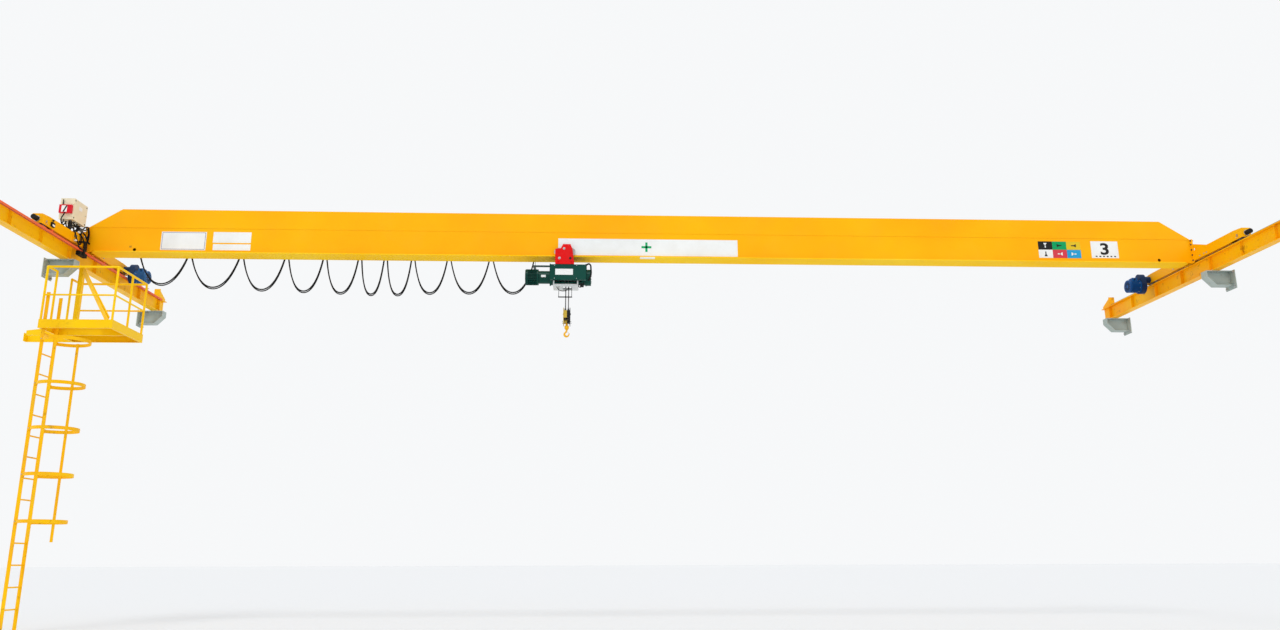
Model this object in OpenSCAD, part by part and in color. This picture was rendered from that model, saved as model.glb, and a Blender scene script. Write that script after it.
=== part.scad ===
// Single-girder overhead bridge crane on its two runway beams, with a wire-rope hoist under the
// girder, a festoon cable behind it, a service platform and a caged ladder.
// Origin: centre of the wall face of the reference corbel on the left side. X runs across the
// span to the right, Y runs along the runway, Z is up.

/* [Runway] */
// Distance between the two rail centre lines
span = 18000; // [14000:100:22000]
// Distance between two neighbouring corbels
bay = 3200; // [2800:50:3600]
// Height of a runway I-beam
beam_h = 250; // [220:5:300]
// Flange width of a runway I-beam
beam_w = 125; // [115:1:135]
// Web thickness of a runway I-beam
beam_web = 8; // [6:1:12]
// Flange thickness of a runway I-beam
beam_flange = 12; // [8:1:16]
// Width of the square rail bar
rail_w = 50; // [40:1:54]
// Height of the square rail bar
rail_h = 25; // [20:1:30]
// Length of beam beyond the last corbel
beam_overhang = 260; // [230:5:320]

/* [Corbels] */
// Distance from a rail centre line to the column face
column_gap = 270; // [230:5:330]
// How far a corbel reaches past the rail centre line
corbel_nose = 160; // [120:5:200]
// Height of a corbel at the column
corbel_h = 245; // [200:5:290]
// Width of a corbel along the runway
corbel_w = 150; // [120:5:180]
// Plate thickness of a corbel
corbel_t = 12; // [8:1:16]
// Radius of a bolt hole in the corbel's wall plate
corbel_bolt_r = 11; // [8:0.5:13]

/* [Bridge girder] */
// Depth of the girder above its bottom flange
girder_h = 707; // [600:5:820]
// Width of the girder over its webs
girder_w = 240; // [200:5:280]
// Thickness of the webs
web_t = 6; // [5:1:10]
// Thickness of the top plate
top_t = 10; // [8:1:14]
// Width of the bottom flange
flange_w = 330; // [320:5:360]
// Thickness of the bottom flange
flange_t = 15; // [12:1:20]
// Height of the girder at its tips
tip_h = 400; // [350:5:450]
// Length of the sloped part at each end
tip_len = 505; // [400:5:650]
// Width of the girder at its tips
tip_w = 200; // [170:5:240]

/* [End trucks] */
// Length of an end truck
truck_len = 2750; // [2600:10:3000]
// Width of an end truck
truck_w = 140; // [136:1:146]
// Height of an end truck
truck_h = 158; // [156:1:180]
// Plate thickness of an end truck
truck_t = 8; // [6:1:9]
// Distance between the two wheels of a truck
wheelbase = 2500; // [2300:10:2520]
// Tread radius of a truck wheel
wheel_r = 70; // [66:1:72]
// Radius of a truck axle
axle_r = 20; // [16:1:24]

/* [Hoist] */
// Place of the hoist along the girder, from the left rail
hoist_at = 7589; // [7300:1:9000]
// Radius of the rope drum's casing
casing_r = 125; // [115:1:130]
// Length of the drum casing
casing_len = 590; // [520:5:620]
// Radius of the hoist motor
motor_r = 128; // [110:1:130]
// Length of the hoist motor
motor_len = 200; // [160:5:260]
// Tread radius of a trolley wheel
trolley_wheel_r = 55; // [50:1:60]
// Distance between the trolley's two axles
trolley_base = 206; // [180:2:220]
// Outer radius of a sheave in the hook block
sheave_r = 95; // [85:1:105]
// Radius of the hoist rope
rope_r = 6; // [4:0.5:7]

/* [Platform and ladder] */
// Width of the platform across the runway
deck_w = 1066; // [1000:5:1200]
// Length of the platform along the runway
deck_l = 1010; // [960:5:1150]
// Height of the guard rails above the deck plate
guard_h = 810; // [700:10:820]
// Diameter of the guard rail tube
guard_d = 34; // [27:1:42]
// Distance between two ladder rungs
rung_pitch = 300; // [250:5:320]
// Radius of the ladder cage
cage_r = 320; // [300:5:350]
// Height of the underside of the runway beams above the ground
clear_h = 5422; // [5000:2:6000]

/* [Hidden] */

$fn = 64;
fit = 0.05;          // running clearance of a pin in its bore, on the radius
seat = 0.3;          // gap under a wheel that rolls on another body
yellow = [0.98, 0.66, 0.02];
deck_yellow = [1.0, 0.72, 0.02];
corbel_green = [0.55, 0.66, 0.62];
hoist_green = [0.02, 0.2, 0.16];
drive_blue = [0.05, 0.3, 0.62];
trolley_red = [0.85, 0.05, 0.04];
steel = [0.55, 0.56, 0.58];
black = [0.06, 0.06, 0.07];
cream = [0.9, 0.86, 0.72];

// Runway levels and places
bays = 4;
bays_behind = 1;                       // bays beyond the reference corbel, away from the viewer
rail_left_x = column_gap;
rail_right_x = rail_left_x + span;
plate_h = corbel_h + 55;               // wall plate of a corbel
plate_w = corbel_w + 120;
bolt_in = 30;                          // plate edge to a bolt centre
beam_z = plate_h / 2;                  // underside of the beams
beam_top = beam_z + beam_h;
rail_top = beam_top + rail_h;
beam_y1 = bays_behind * bay + beam_overhang;
beam_y0 = -(bays - bays_behind) * bay - beam_overhang;
ground_z = beam_z - clear_h;
stop_t = 20;
stop_rib = 12;
stop_h = 145;
stop_len = 270;
stop_inset = 300;                      // beam end to the stop plate's striking face

// Bridge levels and places
bridge_y = 448;                        // centre line of the girder
truck_z = rail_top + 10;               // underside of the trucks
truck_top = truck_z + truck_h;
truck_mid_z = truck_z + truck_h / 2;
wheel_z = rail_top + wheel_r + seat;
wheel_w = rail_w + 30;
wheel_flange = 8;
splice_t = 12;
girder_x0 = rail_left_x + truck_w / 2 + splice_t;
girder_x1 = rail_right_x - truck_w / 2 - splice_t;
girder_drop = 37;                      // how far the webs reach below the trucks
girder_z = truck_z - girder_drop;      // underside of the webs
girder_top = girder_z + girder_h;
fold_z = girder_z + tip_h;
lip = (flange_w - girder_w) / 2;
flange_under = girder_z - flange_t;

// Trolley and hoist places
trolley_x = rail_left_x + hoist_at;
plate_t = 12;
wheel_gap = 7;                         // flange of a trolley wheel to the edge of the lip
trolley_flange_t = 8;
plate_in = flange_w / 2 + wheel_gap + trolley_flange_t + 6;
trolley_wheel_z = girder_z + trolley_wheel_r + seat;
trolley_axle_r = 15;
tie_z = flange_under - 85;
tie_r = 14;
drum_z = girder_z - 320;
casing_x0 = trolley_x - 240;
casing_x1 = casing_x0 + casing_len;
block_x = trolley_x + 41;
sheave_z = drum_z - 605;
sheave_t = 26;
sheave_gap = 20;
groove_r = sheave_r - 8;
drum_core_r = groove_r - rope_r - seat;   // the falls hang straight down from the drum
pin_r = 14;

// Festoon supports from the fixed clamp to the towing arm, and how low each loop hangs
festoon_y = 230;                       // from the girder's centre line
festoon_x = [1020, 1830, 2650, 3370, 3980, 4540, 4950, 5390, 5970, 6650, 7370];
festoon_low = [-22, -72, -102, -122, -142, -162, -162, -132, -122, -102];
festoon_top = 468;
festoon_d = 14;
track_z = 528;
slot_w = 18;
track_t = 3;
track_w = 40;
track_h = 36;

module along_y(y0, y1) {
  translate([0, y1, 0]) rotate([90, 0, 0]) linear_extrude(y1 - y0) children();
}

module along_x(x0, x1) {
  translate([x0, 0, 0]) rotate([90, 0, 90]) linear_extrude(x1 - x0) children();
}

module rod_x(x0, x1, r) {
  translate([x0, 0, 0]) rotate([0, 90, 0]) cylinder(r = r, h = x1 - x0);
}

module rod_y(y0, y1, r) {
  translate([0, y0, 0]) rotate([-90, 0, 0]) cylinder(r = r, h = y1 - y0);
}

// Runway

module i_profile(h, w, web, flange) {
  translate([-w / 2, 0]) square([w, flange]);
  translate([-w / 2, h - flange]) square([w, flange]);
  translate([-web / 2, 0]) square([web, h]);
}

stiffener_t = 6;

module stiffener_pair(y) {
  for (s = [-1, 1])
    translate([s * (beam_w / 4 - 2), y, beam_h / 2])
      cube([beam_w / 2 - 8, stiffener_t, beam_h - 2 * beam_flange], center = true);
}

module end_stop() {
  translate([-beam_w / 2 + 10, 0, 0]) cube([beam_w - 20, stop_t, rail_h + stop_h]);
  for (x = [-beam_w / 2 + 20, beam_w / 2 - 20 - stop_rib])
    translate([x, 0, 0]) rotate([90, 0, 90]) linear_extrude(stop_rib)
      polygon([[0, 0], [stop_len, 0], [stop_len, 40], [stop_t, rail_h + stop_h - 15], [0, rail_h + stop_h - 15]]);
}

module runway_beam(x) {
  color(yellow) translate([x, 0, beam_z]) {
    along_y(beam_y0, beam_y1) i_profile(beam_h, beam_w, beam_web, beam_flange);
    for (i = [-(bays - bays_behind) * 4 : bays_behind * 4]) stiffener_pair(i * bay / 4);
    translate([0, beam_y1 - stop_inset, beam_h]) end_stop();
    translate([0, beam_y0 + stop_inset, beam_h]) mirror([0, 1, 0]) end_stop();
  }
}

module runway_beam_left() { runway_beam(rail_left_x); }

module runway_beam_right() { runway_beam(rail_right_x); }

module runway_rails() {
  color(steel) for (x = [rail_left_x, rail_right_x])
    translate([x, 0, beam_top])
      along_y(beam_y0 + stop_inset, beam_y1 - stop_inset)
        translate([-rail_w / 2, 0]) square([rail_w, rail_h]);
}

// Corbels: a flanged bracket whose underside rises towards its nose, on a bolted wall plate

nose_share = 0.42;                     // depth of the nose, as a share of the corbel's height
heel_share = 0.68;                     // where the rising underside begins, as a share of its length

module corbel_side() {
  length = column_gap + corbel_nose;
  polygon([[0, 0], [length, 0], [length, -corbel_h * nose_share], [length * heel_share, -corbel_h],
           [0, -corbel_h]]);
}

module corbel() {
  length = column_gap + corbel_nose;
  difference() {
    rotate([90, 0, 0]) translate([0, 0, -corbel_w / 2]) linear_extrude(corbel_w) corbel_side();
    for (s = [-1, 1])
      translate([0, s * (corbel_w / 4 + corbel_t / 4), 0]) rotate([90, 0, 0])
        translate([0, 0, -(corbel_w - corbel_t) / 4 - 0.01 * s])
          linear_extrude((corbel_w - corbel_t) / 2 + 0.02)
            polygon([[corbel_t, -corbel_t], [length - corbel_t, -corbel_t],
                     [length - corbel_t, -corbel_h * nose_share + 4],
                     [length * heel_share - 6, -corbel_h + corbel_t],
                     [corbel_t, -corbel_h + corbel_t]]);
    corbel_holes();
  }
  difference() {
    translate([0, -plate_w / 2, -plate_h]) cube([corbel_t, plate_w, plate_h]);
    corbel_holes();
  }
}

module corbel_holes() {
  for (s = [-1, 1])
    for (t = [-1, 1])
      translate([-1, s * (plate_w / 2 - bolt_in), -plate_h / 2 + t * (plate_h / 2 - bolt_in)])
        rod_x(0, corbel_t + 2, corbel_bolt_r);
}

module corbels_left() {
  color(corbel_green) for (i = [-(bays - bays_behind) : bays_behind])
    translate([0, i * bay, beam_z]) corbel();
}

module corbels_right() {
  color(corbel_green) for (i = [-(bays - bays_behind) : bays_behind])
    translate([rail_right_x + column_gap, i * bay, beam_z]) mirror([1, 0, 0]) corbel();
}

// Conductor bar: an enclosed channel with a slot along its underside, clipped to the beam

bar_w = 40;
bar_h = 30;
bar_x = rail_left_x + beam_w / 2 + 77;
bar_z = beam_top - 50;
bar_wall = 4;

module conductor_bar() {
  color([0.85, 0.16, 0.05]) translate([bar_x, 0, bar_z - bar_h])
    along_y(beam_y0 + 60, beam_y1 - 420)
      difference() {
        translate([-bar_w / 2, 0]) square([bar_w, bar_h]);
        translate([-bar_w / 2 + bar_wall, bar_wall]) square([bar_w - 2 * bar_wall, bar_h - 2 * bar_wall]);
        translate([-9, -1]) square([18, bar_wall + 2]);
      }
  color(steel) for (i = [-(bays - bays_behind) * 2 : bays_behind * 2 - 1])
    translate([0, (i + 0.5) * bay / 2 + hanger_aside, 0]) bar_hanger();
}

// A flat strap under the beam's top flange, and a stem down to the bar
module bar_hanger() {
  under = beam_top - beam_flange;
  x0 = rail_left_x + beam_w / 2 - 30;
  translate([x0, -hanger_w / 2, under - hanger_t])
    cube([bar_x + bar_w / 2 - x0, hanger_w, hanger_t]);
  translate([bar_x - hanger_t / 2, -hanger_w / 2, bar_z]) cube([hanger_t, hanger_w, under - hanger_t - bar_z]);
}

hanger_w = 30;
hanger_t = 4;
hanger_aside = 60;                     // hangers stand beside the beam's stiffeners

// Service platform under the left beam

deck_x0 = 206;
deck_x1 = deck_x0 + deck_w;
deck_y0 = -400;
deck_y1 = deck_y0 + deck_l;
deck_z = beam_z - 1152;                // underside of the frame
frame_h = 130;                         // depth of the frame channels and the plate on them
frame_t = 6;
lip_w = 30;
deck_top = deck_z + frame_h;
hatch_x0 = 235;
hatch_x1 = 880;
hatch_y0 = -380;
hatch_y1 = 60;
bearer_out = 706;                      // how far the two bearers run on towards the wall
bearer_y = 92;                         // web of the near bearer
bearer_end = 90;                       // width of a bearer's end plate
guard_r = guard_d / 2;
guard_z = deck_top + guard_h;
mid_rail = 0.465;                      // height of the middle rail, as a share of the guard's height

// A channel with its web from (x, y) and its lip along the bottom, towards the inside of the frame
module frame_x(x0, x1, y, lip_side) {
  translate([x0, y, deck_z]) cube([x1 - x0, frame_t, frame_h - frame_t]);
  translate([x0, lip_side > 0 ? y : y + frame_t - lip_w, deck_z]) cube([x1 - x0, lip_w, frame_t]);
}

module frame_y(y0, y1, x, lip_side) {
  translate([x, y0, deck_z]) cube([frame_t, y1 - y0, frame_h - frame_t]);
  translate([lip_side > 0 ? x : x + frame_t - lip_w, y0, deck_z]) cube([lip_w, y1 - y0, frame_t]);
}

module platform_deck() {
  out = deck_x0 - bearer_out;
  color(deck_yellow) {
    difference() {
      translate([deck_x0, deck_y0, deck_top - frame_t]) cube([deck_w, deck_l, frame_t]);
      translate([hatch_x0, hatch_y0, deck_top - frame_t - 1])
        cube([hatch_x1 - hatch_x0, hatch_y1 - hatch_y0, frame_t + 2]);
    }
    frame_x(deck_x0, deck_x1, deck_y0, 1);
    frame_y(deck_y0, deck_y1, deck_x0, 1);
    frame_y(deck_y0, deck_y1, deck_x1 - frame_t, -1);
    frame_x(out, deck_x1, deck_y1 - frame_t, -1);
    frame_x(out, deck_x1 - frame_t, bearer_y, 1);
    translate([out, deck_y1 - bearer_end, deck_z]) cube([10, bearer_end, frame_h]);
    translate([out, bearer_y, deck_z]) cube([10, bearer_end, frame_h]);
  }
}

module guard_post(x, y) {
  translate([x, y, deck_top]) cylinder(r = guard_r, h = guard_z - deck_top);
  translate([x, y, guard_z]) sphere(r = guard_r);
}

module platform_rails() {
  x0 = deck_x0 + guard_r;
  x1 = deck_x1 - fascia_in - guard_r;
  y0 = deck_y0 + fascia_in + guard_r;
  y1 = deck_y1 - fascia_in - guard_r;
  step_y = y0 + side_hoop;
  far_y = y1 - side_hoop;
  mid_z = deck_top + guard_h * mid_rail;
  color(deck_yellow) {
    for (p = [[x0, y0], [x0, step_y], [x1, y0], [x1, (y0 + y1) / 2], [x1, y1], [x0, y1], [x0, far_y]])
      guard_post(p[0], p[1]);
    for (y = [y0, y1]) translate([0, y, guard_z]) rod_x(x0, x1, guard_r);
    translate([x1, 0, guard_z]) rod_y(y0, y1, guard_r);
    translate([x0, 0, guard_z]) rod_y(y0, step_y, guard_r);
    translate([x0, 0, guard_z]) rod_y(far_y, y1, guard_r);
    for (y = [y0, y1]) translate([0, y, mid_z]) rod_x(x0, x1, mid_rail_r);
    translate([x1, 0, mid_z]) rod_y(y0, y1, mid_rail_r);
  }
}

fascia_in = 6;                         // deck edge to the near side of a guard post
side_hoop = 267;                       // length of the short rails on the wall side
mid_rail_r = guard_r * 0.8;

hanger_x = rail_left_x + beam_w / 2 - 22;
hanger_y = 320;
hanger_leg = 66;
hanger_wall = 8;
brace_w = 75;
head_t = 10;

module platform_hanger() {
  head_z = beam_z - head_t;
  color(deck_yellow) {
    translate([hanger_x, hanger_y, deck_top]) cube([hanger_leg, hanger_wall, head_z - deck_top]);
    translate([hanger_x + hanger_leg - hanger_wall, hanger_y, deck_top])
      cube([hanger_wall, hanger_leg, head_z - deck_top]);
    translate([hanger_x + hanger_leg - beam_w, hanger_y - 10, head_z]) cube([beam_w, hanger_leg + 20, head_t]);
    brace();
  }
}

// The brace runs from the hanger's head down to the near right corner of the deck
module brace() {
  top = [hanger_x + hanger_leg - 4, hanger_y + 4, beam_z - 60];
  foot = [deck_x1 - 107, deck_y0 + 40, deck_top];
  d = foot - top;
  run = norm([d[0], d[1]]);
  length = norm(d);
  intersection() {
    translate(top) rotate([0, 0, atan2(d[1], d[0])]) rotate([0, atan2(-d[2], run), 0])
      translate([-60, -hanger_wall / 2, -brace_w / 2]) cube([length + 200, hanger_wall, brace_w]);
    translate([hanger_x, deck_y0 + 6, deck_top])
      cube([deck_x1 - hanger_x - 6, deck_l, beam_z - head_t - deck_top]);
  }
}

// Ladder with a cage

ladder_x = rail_left_x;
ladder_y0 = -350;
ladder_y1 = 0;
stile_w = 50;
stile_t = 10;
ladder_top = deck_top + 422;
rungs = floor((deck_z - ground_z) / rung_pitch);
cage_x = ladder_x + cage_r - 50;
cage_y = (ladder_y0 + ladder_y1) / 2;
cage_hoops = 5;
hoop_pitch = 655;
hoop_top = deck_z - 180;
strap_w = 50;
strap_t = 6;
pad_t = 12;                             // pads that join the hoops to the stiles
pad_over = 5;
stile_out = (ladder_y1 - ladder_y0 + stile_t) / 2;   // ladder centre to a stile's outer face

module ladder() {
  color(deck_yellow) {
    for (y = [ladder_y0, ladder_y1])
      translate([ladder_x - stile_w / 2, y - stile_t / 2, ground_z])
        cube([stile_w, stile_t, ladder_top - ground_z]);
    for (i = [1 : rungs])
      translate([ladder_x, 0, ground_z + i * rung_pitch]) rod_y(ladder_y0, ladder_y1, 11);
    for (y = [ladder_y0, ladder_y1])
      {
        translate([ladder_x - 50, y - 40, ground_z]) cube([100, 80, 10]);
        translate([deck_x0 + frame_t, y - stile_t / 2, deck_z + frame_t])
          cube([ladder_x - deck_x0 - frame_t, stile_t, 60]);
      }
  }
}

module hoop() {
  half = 180 - asin((stile_out + pad_t / 2) / (cage_r - strap_t / 2));
  rotate([0, 0, -half]) rotate_extrude(angle = 2 * half)
    translate([cage_r - strap_t, 0]) square([strap_t, strap_w]);
}

module ladder_cage() {
  color(deck_yellow) {
    for (i = [0 : cage_hoops - 1]) translate([cage_x, cage_y, hoop_top - i * hoop_pitch]) {
      hoop();
      for (y = [-stile_out - pad_t, stile_out])
        translate([ladder_x - cage_x - 15, y, -pad_over]) cube([50, pad_t, strap_w + 2 * pad_over]);
    }
    for (a = [-90, 90])
      translate([cage_x, cage_y, hoop_top - (cage_hoops - 1) * hoop_pitch - 250])
        rotate([0, 0, a]) translate([cage_r - 2 * strap_t, -20, 0])
          cube([strap_t + 3, 40, (cage_hoops - 1) * hoop_pitch + 250 + strap_w + pad_over]);
  }
}

// Bridge girder: two webs that draw in towards the tips, a folded cap and end plates

module girder_side(lift = 0) {
  polygon([[girder_x0, girder_z], [girder_x1, girder_z], [girder_x1, fold_z + lift],
           [girder_x1 - tip_len, girder_top + lift], [girder_x0 + tip_len, girder_top + lift],
           [girder_x0, fold_z + lift]]);
}

module girder_plan(inset) {
  w = girder_w / 2 - inset;
  t = tip_w / 2 - inset;
  polygon([[girder_x0, -t], [girder_x0 + tip_len, -w], [girder_x1 - tip_len, -w], [girder_x1, -t],
           [girder_x1, t], [girder_x1 - tip_len, w], [girder_x0 + tip_len, w], [girder_x0, t]]);
}

module girder_body(inset, z0, z1) {
  intersection() {
    translate([0, 300, 0]) rotate([90, 0, 0]) linear_extrude(600) girder_side();
    translate([0, 0, z0]) linear_extrude(z1 - z0) girder_plan(inset);
  }
}

cap_step = 4;
web_hole_r = 25;
web_hole_left = 755;                   // girder's left tip to the hole in its webs
web_hole_right = 580;
web_hole_z = 39;

module girder() {
  color(yellow) translate([0, bridge_y, 0]) difference() {
    union() {
      girder_body(cap_step, girder_z, girder_top);
      girder_body(0, fold_z, girder_top);
      for (x = [girder_x0, girder_x1 - 12])
        translate([x, -tip_w / 2 - 40, girder_z]) cube([12, tip_w + 80, tip_h]);
    }
    girder_hollow();
    for (x = [girder_x0 + web_hole_left, girder_x1 - web_hole_right])
      translate([x, 0, girder_z + web_hole_z]) rod_y(-girder_w, girder_w, web_hole_r);
  }
}

module girder_hollow() {
  inset = cap_step + web_t;
  x0 = girder_x0 + 12;
  x1 = girder_x1 - 12;
  drop = top_t + 2;
  intersection() {
    translate([0, 300, 0]) rotate([90, 0, 0]) linear_extrude(600)
      polygon([[x0, girder_z - 1], [x1, girder_z - 1], [x1, fold_z - drop],
               [girder_x1 - tip_len, girder_top - drop], [girder_x0 + tip_len, girder_top - drop],
               [x0, fold_z - drop]]);
    translate([0, 0, girder_z - 1]) linear_extrude(girder_h + 2) girder_plan(inset);
  }
}

flange_in = 90;                        // tip to the end of the bottom flange

module girder_flange() {
  x0 = girder_x0 + flange_in;
  x1 = girder_x1 - flange_in;
  c = 70;
  color(yellow) translate([0, bridge_y, flange_under]) linear_extrude(flange_t)
    polygon([[x0, -flange_w / 2 + c], [x0 + c, -flange_w / 2], [x1 - c, -flange_w / 2],
             [x1, -flange_w / 2 + c], [x1, flange_w / 2 - c], [x1 - c, flange_w / 2],
             [x0 + c, flange_w / 2], [x0, flange_w / 2 - c]]);
}

// End trucks: a welded box with wheel openings below and a splice plate on the inner side

ear_out = 508;                         // girder's centre line to the end of the splice plate
ear_h = 262;
ear_step = 50;
lug_y = 168;
lug_z = 183;
lug_r = 22;
nose_drop = 16;                        // how much lower the truck's ends are
nose_len = 200;

module truck_side(inset) {
  half = truck_len / 2 - inset;
  polygon([[-half, inset > 0 ? -1 : 0], [half, inset > 0 ? -1 : 0], [half, truck_h - nose_drop - inset],
           [half - nose_len, truck_h - inset], [-half + nose_len, truck_h - inset],
           [-half, truck_h - nose_drop - inset]]);
}

module truck(inner) {
  difference() {
    translate([0, bridge_y, truck_z]) along_x(-truck_w / 2, truck_w / 2) truck_side(0);
    translate([0, bridge_y, truck_z]) along_x(-truck_w / 2 + truck_t, truck_w / 2 - truck_t) truck_side(truck_t);
    for (s = [-1, 1])
      translate([0, bridge_y + s * wheelbase / 2, wheel_z]) rod_x(-truck_w, truck_w, axle_r + fit);
  }
  translate([-truck_w / 2 + truck_t, bridge_y - wheelbase / 2 + 200, truck_z])
    cube([truck_w - 2 * truck_t, wheelbase - 400, truck_t]);
  translate([inner > 0 ? truck_w / 2 : -truck_w / 2 - splice_t, bridge_y, truck_z]) splice_plate();
}

module splice_plate() {
  peak = tip_h - girder_drop;
  neck = tip_w / 2 + 40;
  rotate([90, 0, 90]) linear_extrude(splice_t) difference() {
    polygon([[-ear_out, 0], [ear_out, 0], [ear_out, truck_h - 8], [neck + ear_step, ear_h], [neck, ear_h],
             [neck, peak], [-neck, peak], [-neck, ear_h], [-neck - ear_step, ear_h], [-ear_out, truck_h - 8]]);
    for (s = [-1, 1]) translate([s * lug_y, lug_z]) circle(r = lug_r);
  }
}

module truck_left() { color(yellow) translate([rail_left_x, 0, 0]) truck(1); }

module truck_right() { color(yellow) translate([rail_right_x, 0, 0]) truck(-1); }

buffer_r = 37;
buffer_len = 100;
buffer_z = truck_z + 62;

module buffers() {
  color(black) for (x = [rail_left_x, rail_right_x]) {
    translate([x, 0, buffer_z]) {
      rod_y(bridge_y + truck_len / 2, bridge_y + truck_len / 2 + buffer_len, buffer_r);
      rod_y(bridge_y - truck_len / 2 - buffer_len, bridge_y - truck_len / 2, buffer_r);
    }
  }
}

module truck_wheel(x, y) {
  color(steel) translate([x, y, wheel_z]) {
    rotate([0, 90, 0]) rotate_extrude()
      polygon([[0, -wheel_w / 2], [wheel_r + wheel_flange, -wheel_w / 2],
               [wheel_r + wheel_flange, -rail_w / 2 - 8], [wheel_r, -rail_w / 2 - 6],
               [wheel_r, rail_w / 2 + 6], [wheel_r + wheel_flange, rail_w / 2 + 8],
               [wheel_r + wheel_flange, wheel_w / 2], [0, wheel_w / 2]]);
    rod_x(-truck_w / 2 - 6, truck_w / 2 + 6, axle_r);
  }
}

module wheel_left_near() { truck_wheel(rail_left_x, bridge_y - wheelbase / 2); }
module wheel_left_far() { truck_wheel(rail_left_x, bridge_y + wheelbase / 2); }
module wheel_right_near() { truck_wheel(rail_right_x, bridge_y - wheelbase / 2); }
module wheel_right_far() { truck_wheel(rail_right_x, bridge_y + wheelbase / 2); }

// Travel drives on the inner side of the far wheels

gear_neck = 120;                       // out from the truck, over the conductor bar
gear_w = 90;
gear_drop = 125;
drive_r = 112;
drive_len = 290;
fins = 8;
fin_pitch = 24;

module at_drives() {
  translate([rail_left_x + truck_w / 2, bridge_y + wheelbase / 2, wheel_z]) children();
  translate([rail_right_x - truck_w / 2, bridge_y + wheelbase / 2, wheel_z]) mirror([1, 0, 0]) children();
}

module drive_gearboxes() {
  color(drive_blue) at_drives() difference() {
    union() {
      rod_x(0, gear_neck + 1, 60);
      rotate([90, 0, 90]) translate([0, 0, gear_neck]) linear_extrude(gear_w)
        hull() {
          circle(r = 98);
          translate([0, -gear_drop]) circle(r = drive_r + 18, $fn = 32);
        }
    }
    rod_x(-1, 12, axle_r + 4);
  }
}

module drive_motors() {
  color(drive_blue) at_drives() translate([gear_neck + gear_w, 0, -gear_drop]) {
    rod_x(0, 25, drive_r + 8);
    rod_x(0, drive_len, drive_r - 14);
    for (i = [0 : fins - 1]) translate([40 + i * fin_pitch, 0, 0]) rod_x(0, 10, drive_r - 2);
    rod_x(drive_len - 50, drive_len, drive_r);
    translate([60, -60, drive_r - 30]) cube([130, 120, 65]);
  }
}

// Control cabinet beside the girder's left tip, on a bracket above the truck

cab_w = 190;
cab_l = 400;
cab_h = 335;
cab_t = 3;
cab_x = rail_left_x + truck_w / 2 - cab_w - 20;
cab_y = bridge_y - girder_w / 2 - cab_l - 58;
cab_z = truck_top + 180;
door_t = 18;
door_x = cab_x + cab_w + 0.5;
knuckle_r = 7;
knuckle_h = 26;
hinge_pin_r = 3;
hinge_in = 70;

// The two hinges stand on the near edge of the door's outer face
module at_hinges() {
  for (z = [cab_z + hinge_in, cab_z + cab_h - hinge_in])
    translate([door_x + door_t, cab_y, z]) children();
}

module control_cabinet() {
  color(cream) difference() {
    translate([cab_x, cab_y, cab_z]) cube([cab_w, cab_l, cab_h]);
    translate([cab_x + cab_t, cab_y + cab_t, cab_z + cab_t])
      cube([cab_w, cab_l - 2 * cab_t, cab_h - 2 * cab_t]);
  }
  color(cream) at_hinges() {
    translate([0, 0, -knuckle_h]) cylinder(r = knuckle_r, h = knuckle_h);
    cylinder(r = hinge_pin_r, h = knuckle_h);
    translate([-door_t - 20, -knuckle_r, -knuckle_h]) cube([door_t + 20, 4, knuckle_h]);
    translate([-door_t - 20, -knuckle_r, -knuckle_h]) cube([18, knuckle_r + 1, knuckle_h]);
  }
  color(black) {
    for (y = [cab_y + 60, cab_y + cab_l - 90])
      translate([rail_left_x - 20, y, truck_top]) cube([40, 30, cab_z - truck_top]);
  }
}

module cabinet_door() {
  color(cream) difference() {
    union() {
      translate([door_x, cab_y, cab_z]) {
        difference() {
          cube([door_t, cab_l, cab_h]);
          translate([-1, 4, 4]) cube([door_t - 2, cab_l - 8, cab_h - 8]);
        }
        translate([door_t - 3, cab_l - 40, cab_h / 2]) rod_x(0, 10, 11);
      }
      at_hinges() translate([0, 0, seat]) cylinder(r = knuckle_r, h = knuckle_h);
    }
    at_hinges() {
      translate([0, 0, -1]) cylinder(r = hinge_pin_r + fit, h = knuckle_h + 2);
      translate([0, 0, -knuckle_h - 1]) cylinder(r = knuckle_r + 1.5, h = knuckle_h + 1 + seat);
    }
  }
}

light_w = 185;
light_t = 45;
light_h = 130;
light_z = cab_z + 87;

module warning_light() {
  color([0.8, 0.05, 0.08]) translate([cab_x + 10, cab_y - light_t, light_z]) cube([light_w, light_t, light_h]);
  color(black) translate([cab_x + 50, cab_y - 20, light_z + light_h]) cylinder(r = 8, h = 90);
}

// Current collector under the conductor bar, on an arm from the truck

collector_y = 130;
shoe_h = 60;

shoe_gap = 6;
arm_low = 40;                          // underside of the arm above the truck's underside
arm_t = 20;
arm_w = 50;

module collector() {
  inner = rail_left_x + truck_w / 2 + splice_t;
  low = bar_z - bar_h - shoe_h + 16;
  top = truck_z + arm_low + arm_t;
  color(black) {
    translate([bar_x - 32, collector_y - 110, bar_z - bar_h - shoe_h - shoe_gap]) cube([64, 220, shoe_h]);
    translate([bar_x - 4, collector_y - 90, bar_z - bar_h - shoe_gap - 1]) cube([8, 180, 12]);
    translate([bar_x + 32, collector_y - arm_w / 2, low]) cube([12, arm_w, top - low]);
    translate([inner, collector_y - arm_w / 2, truck_z + arm_low]) cube([bar_x + 44 - inner, arm_w, arm_t]);
  }
}

// Swept tube through a list of points

function unit(v) = v / norm(v);
function tangent(p, i) =
  unit(p[min(i + 1, len(p) - 1)] - p[max(i - 1, 0)]);
function ring(c, t, r, n, side) =
  let (a = unit(cross(side, t)), b = cross(t, a))
  [for (k = [0 : n - 1]) c + r * (cos(360 * k / n) * a + sin(360 * k / n) * b)];

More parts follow.
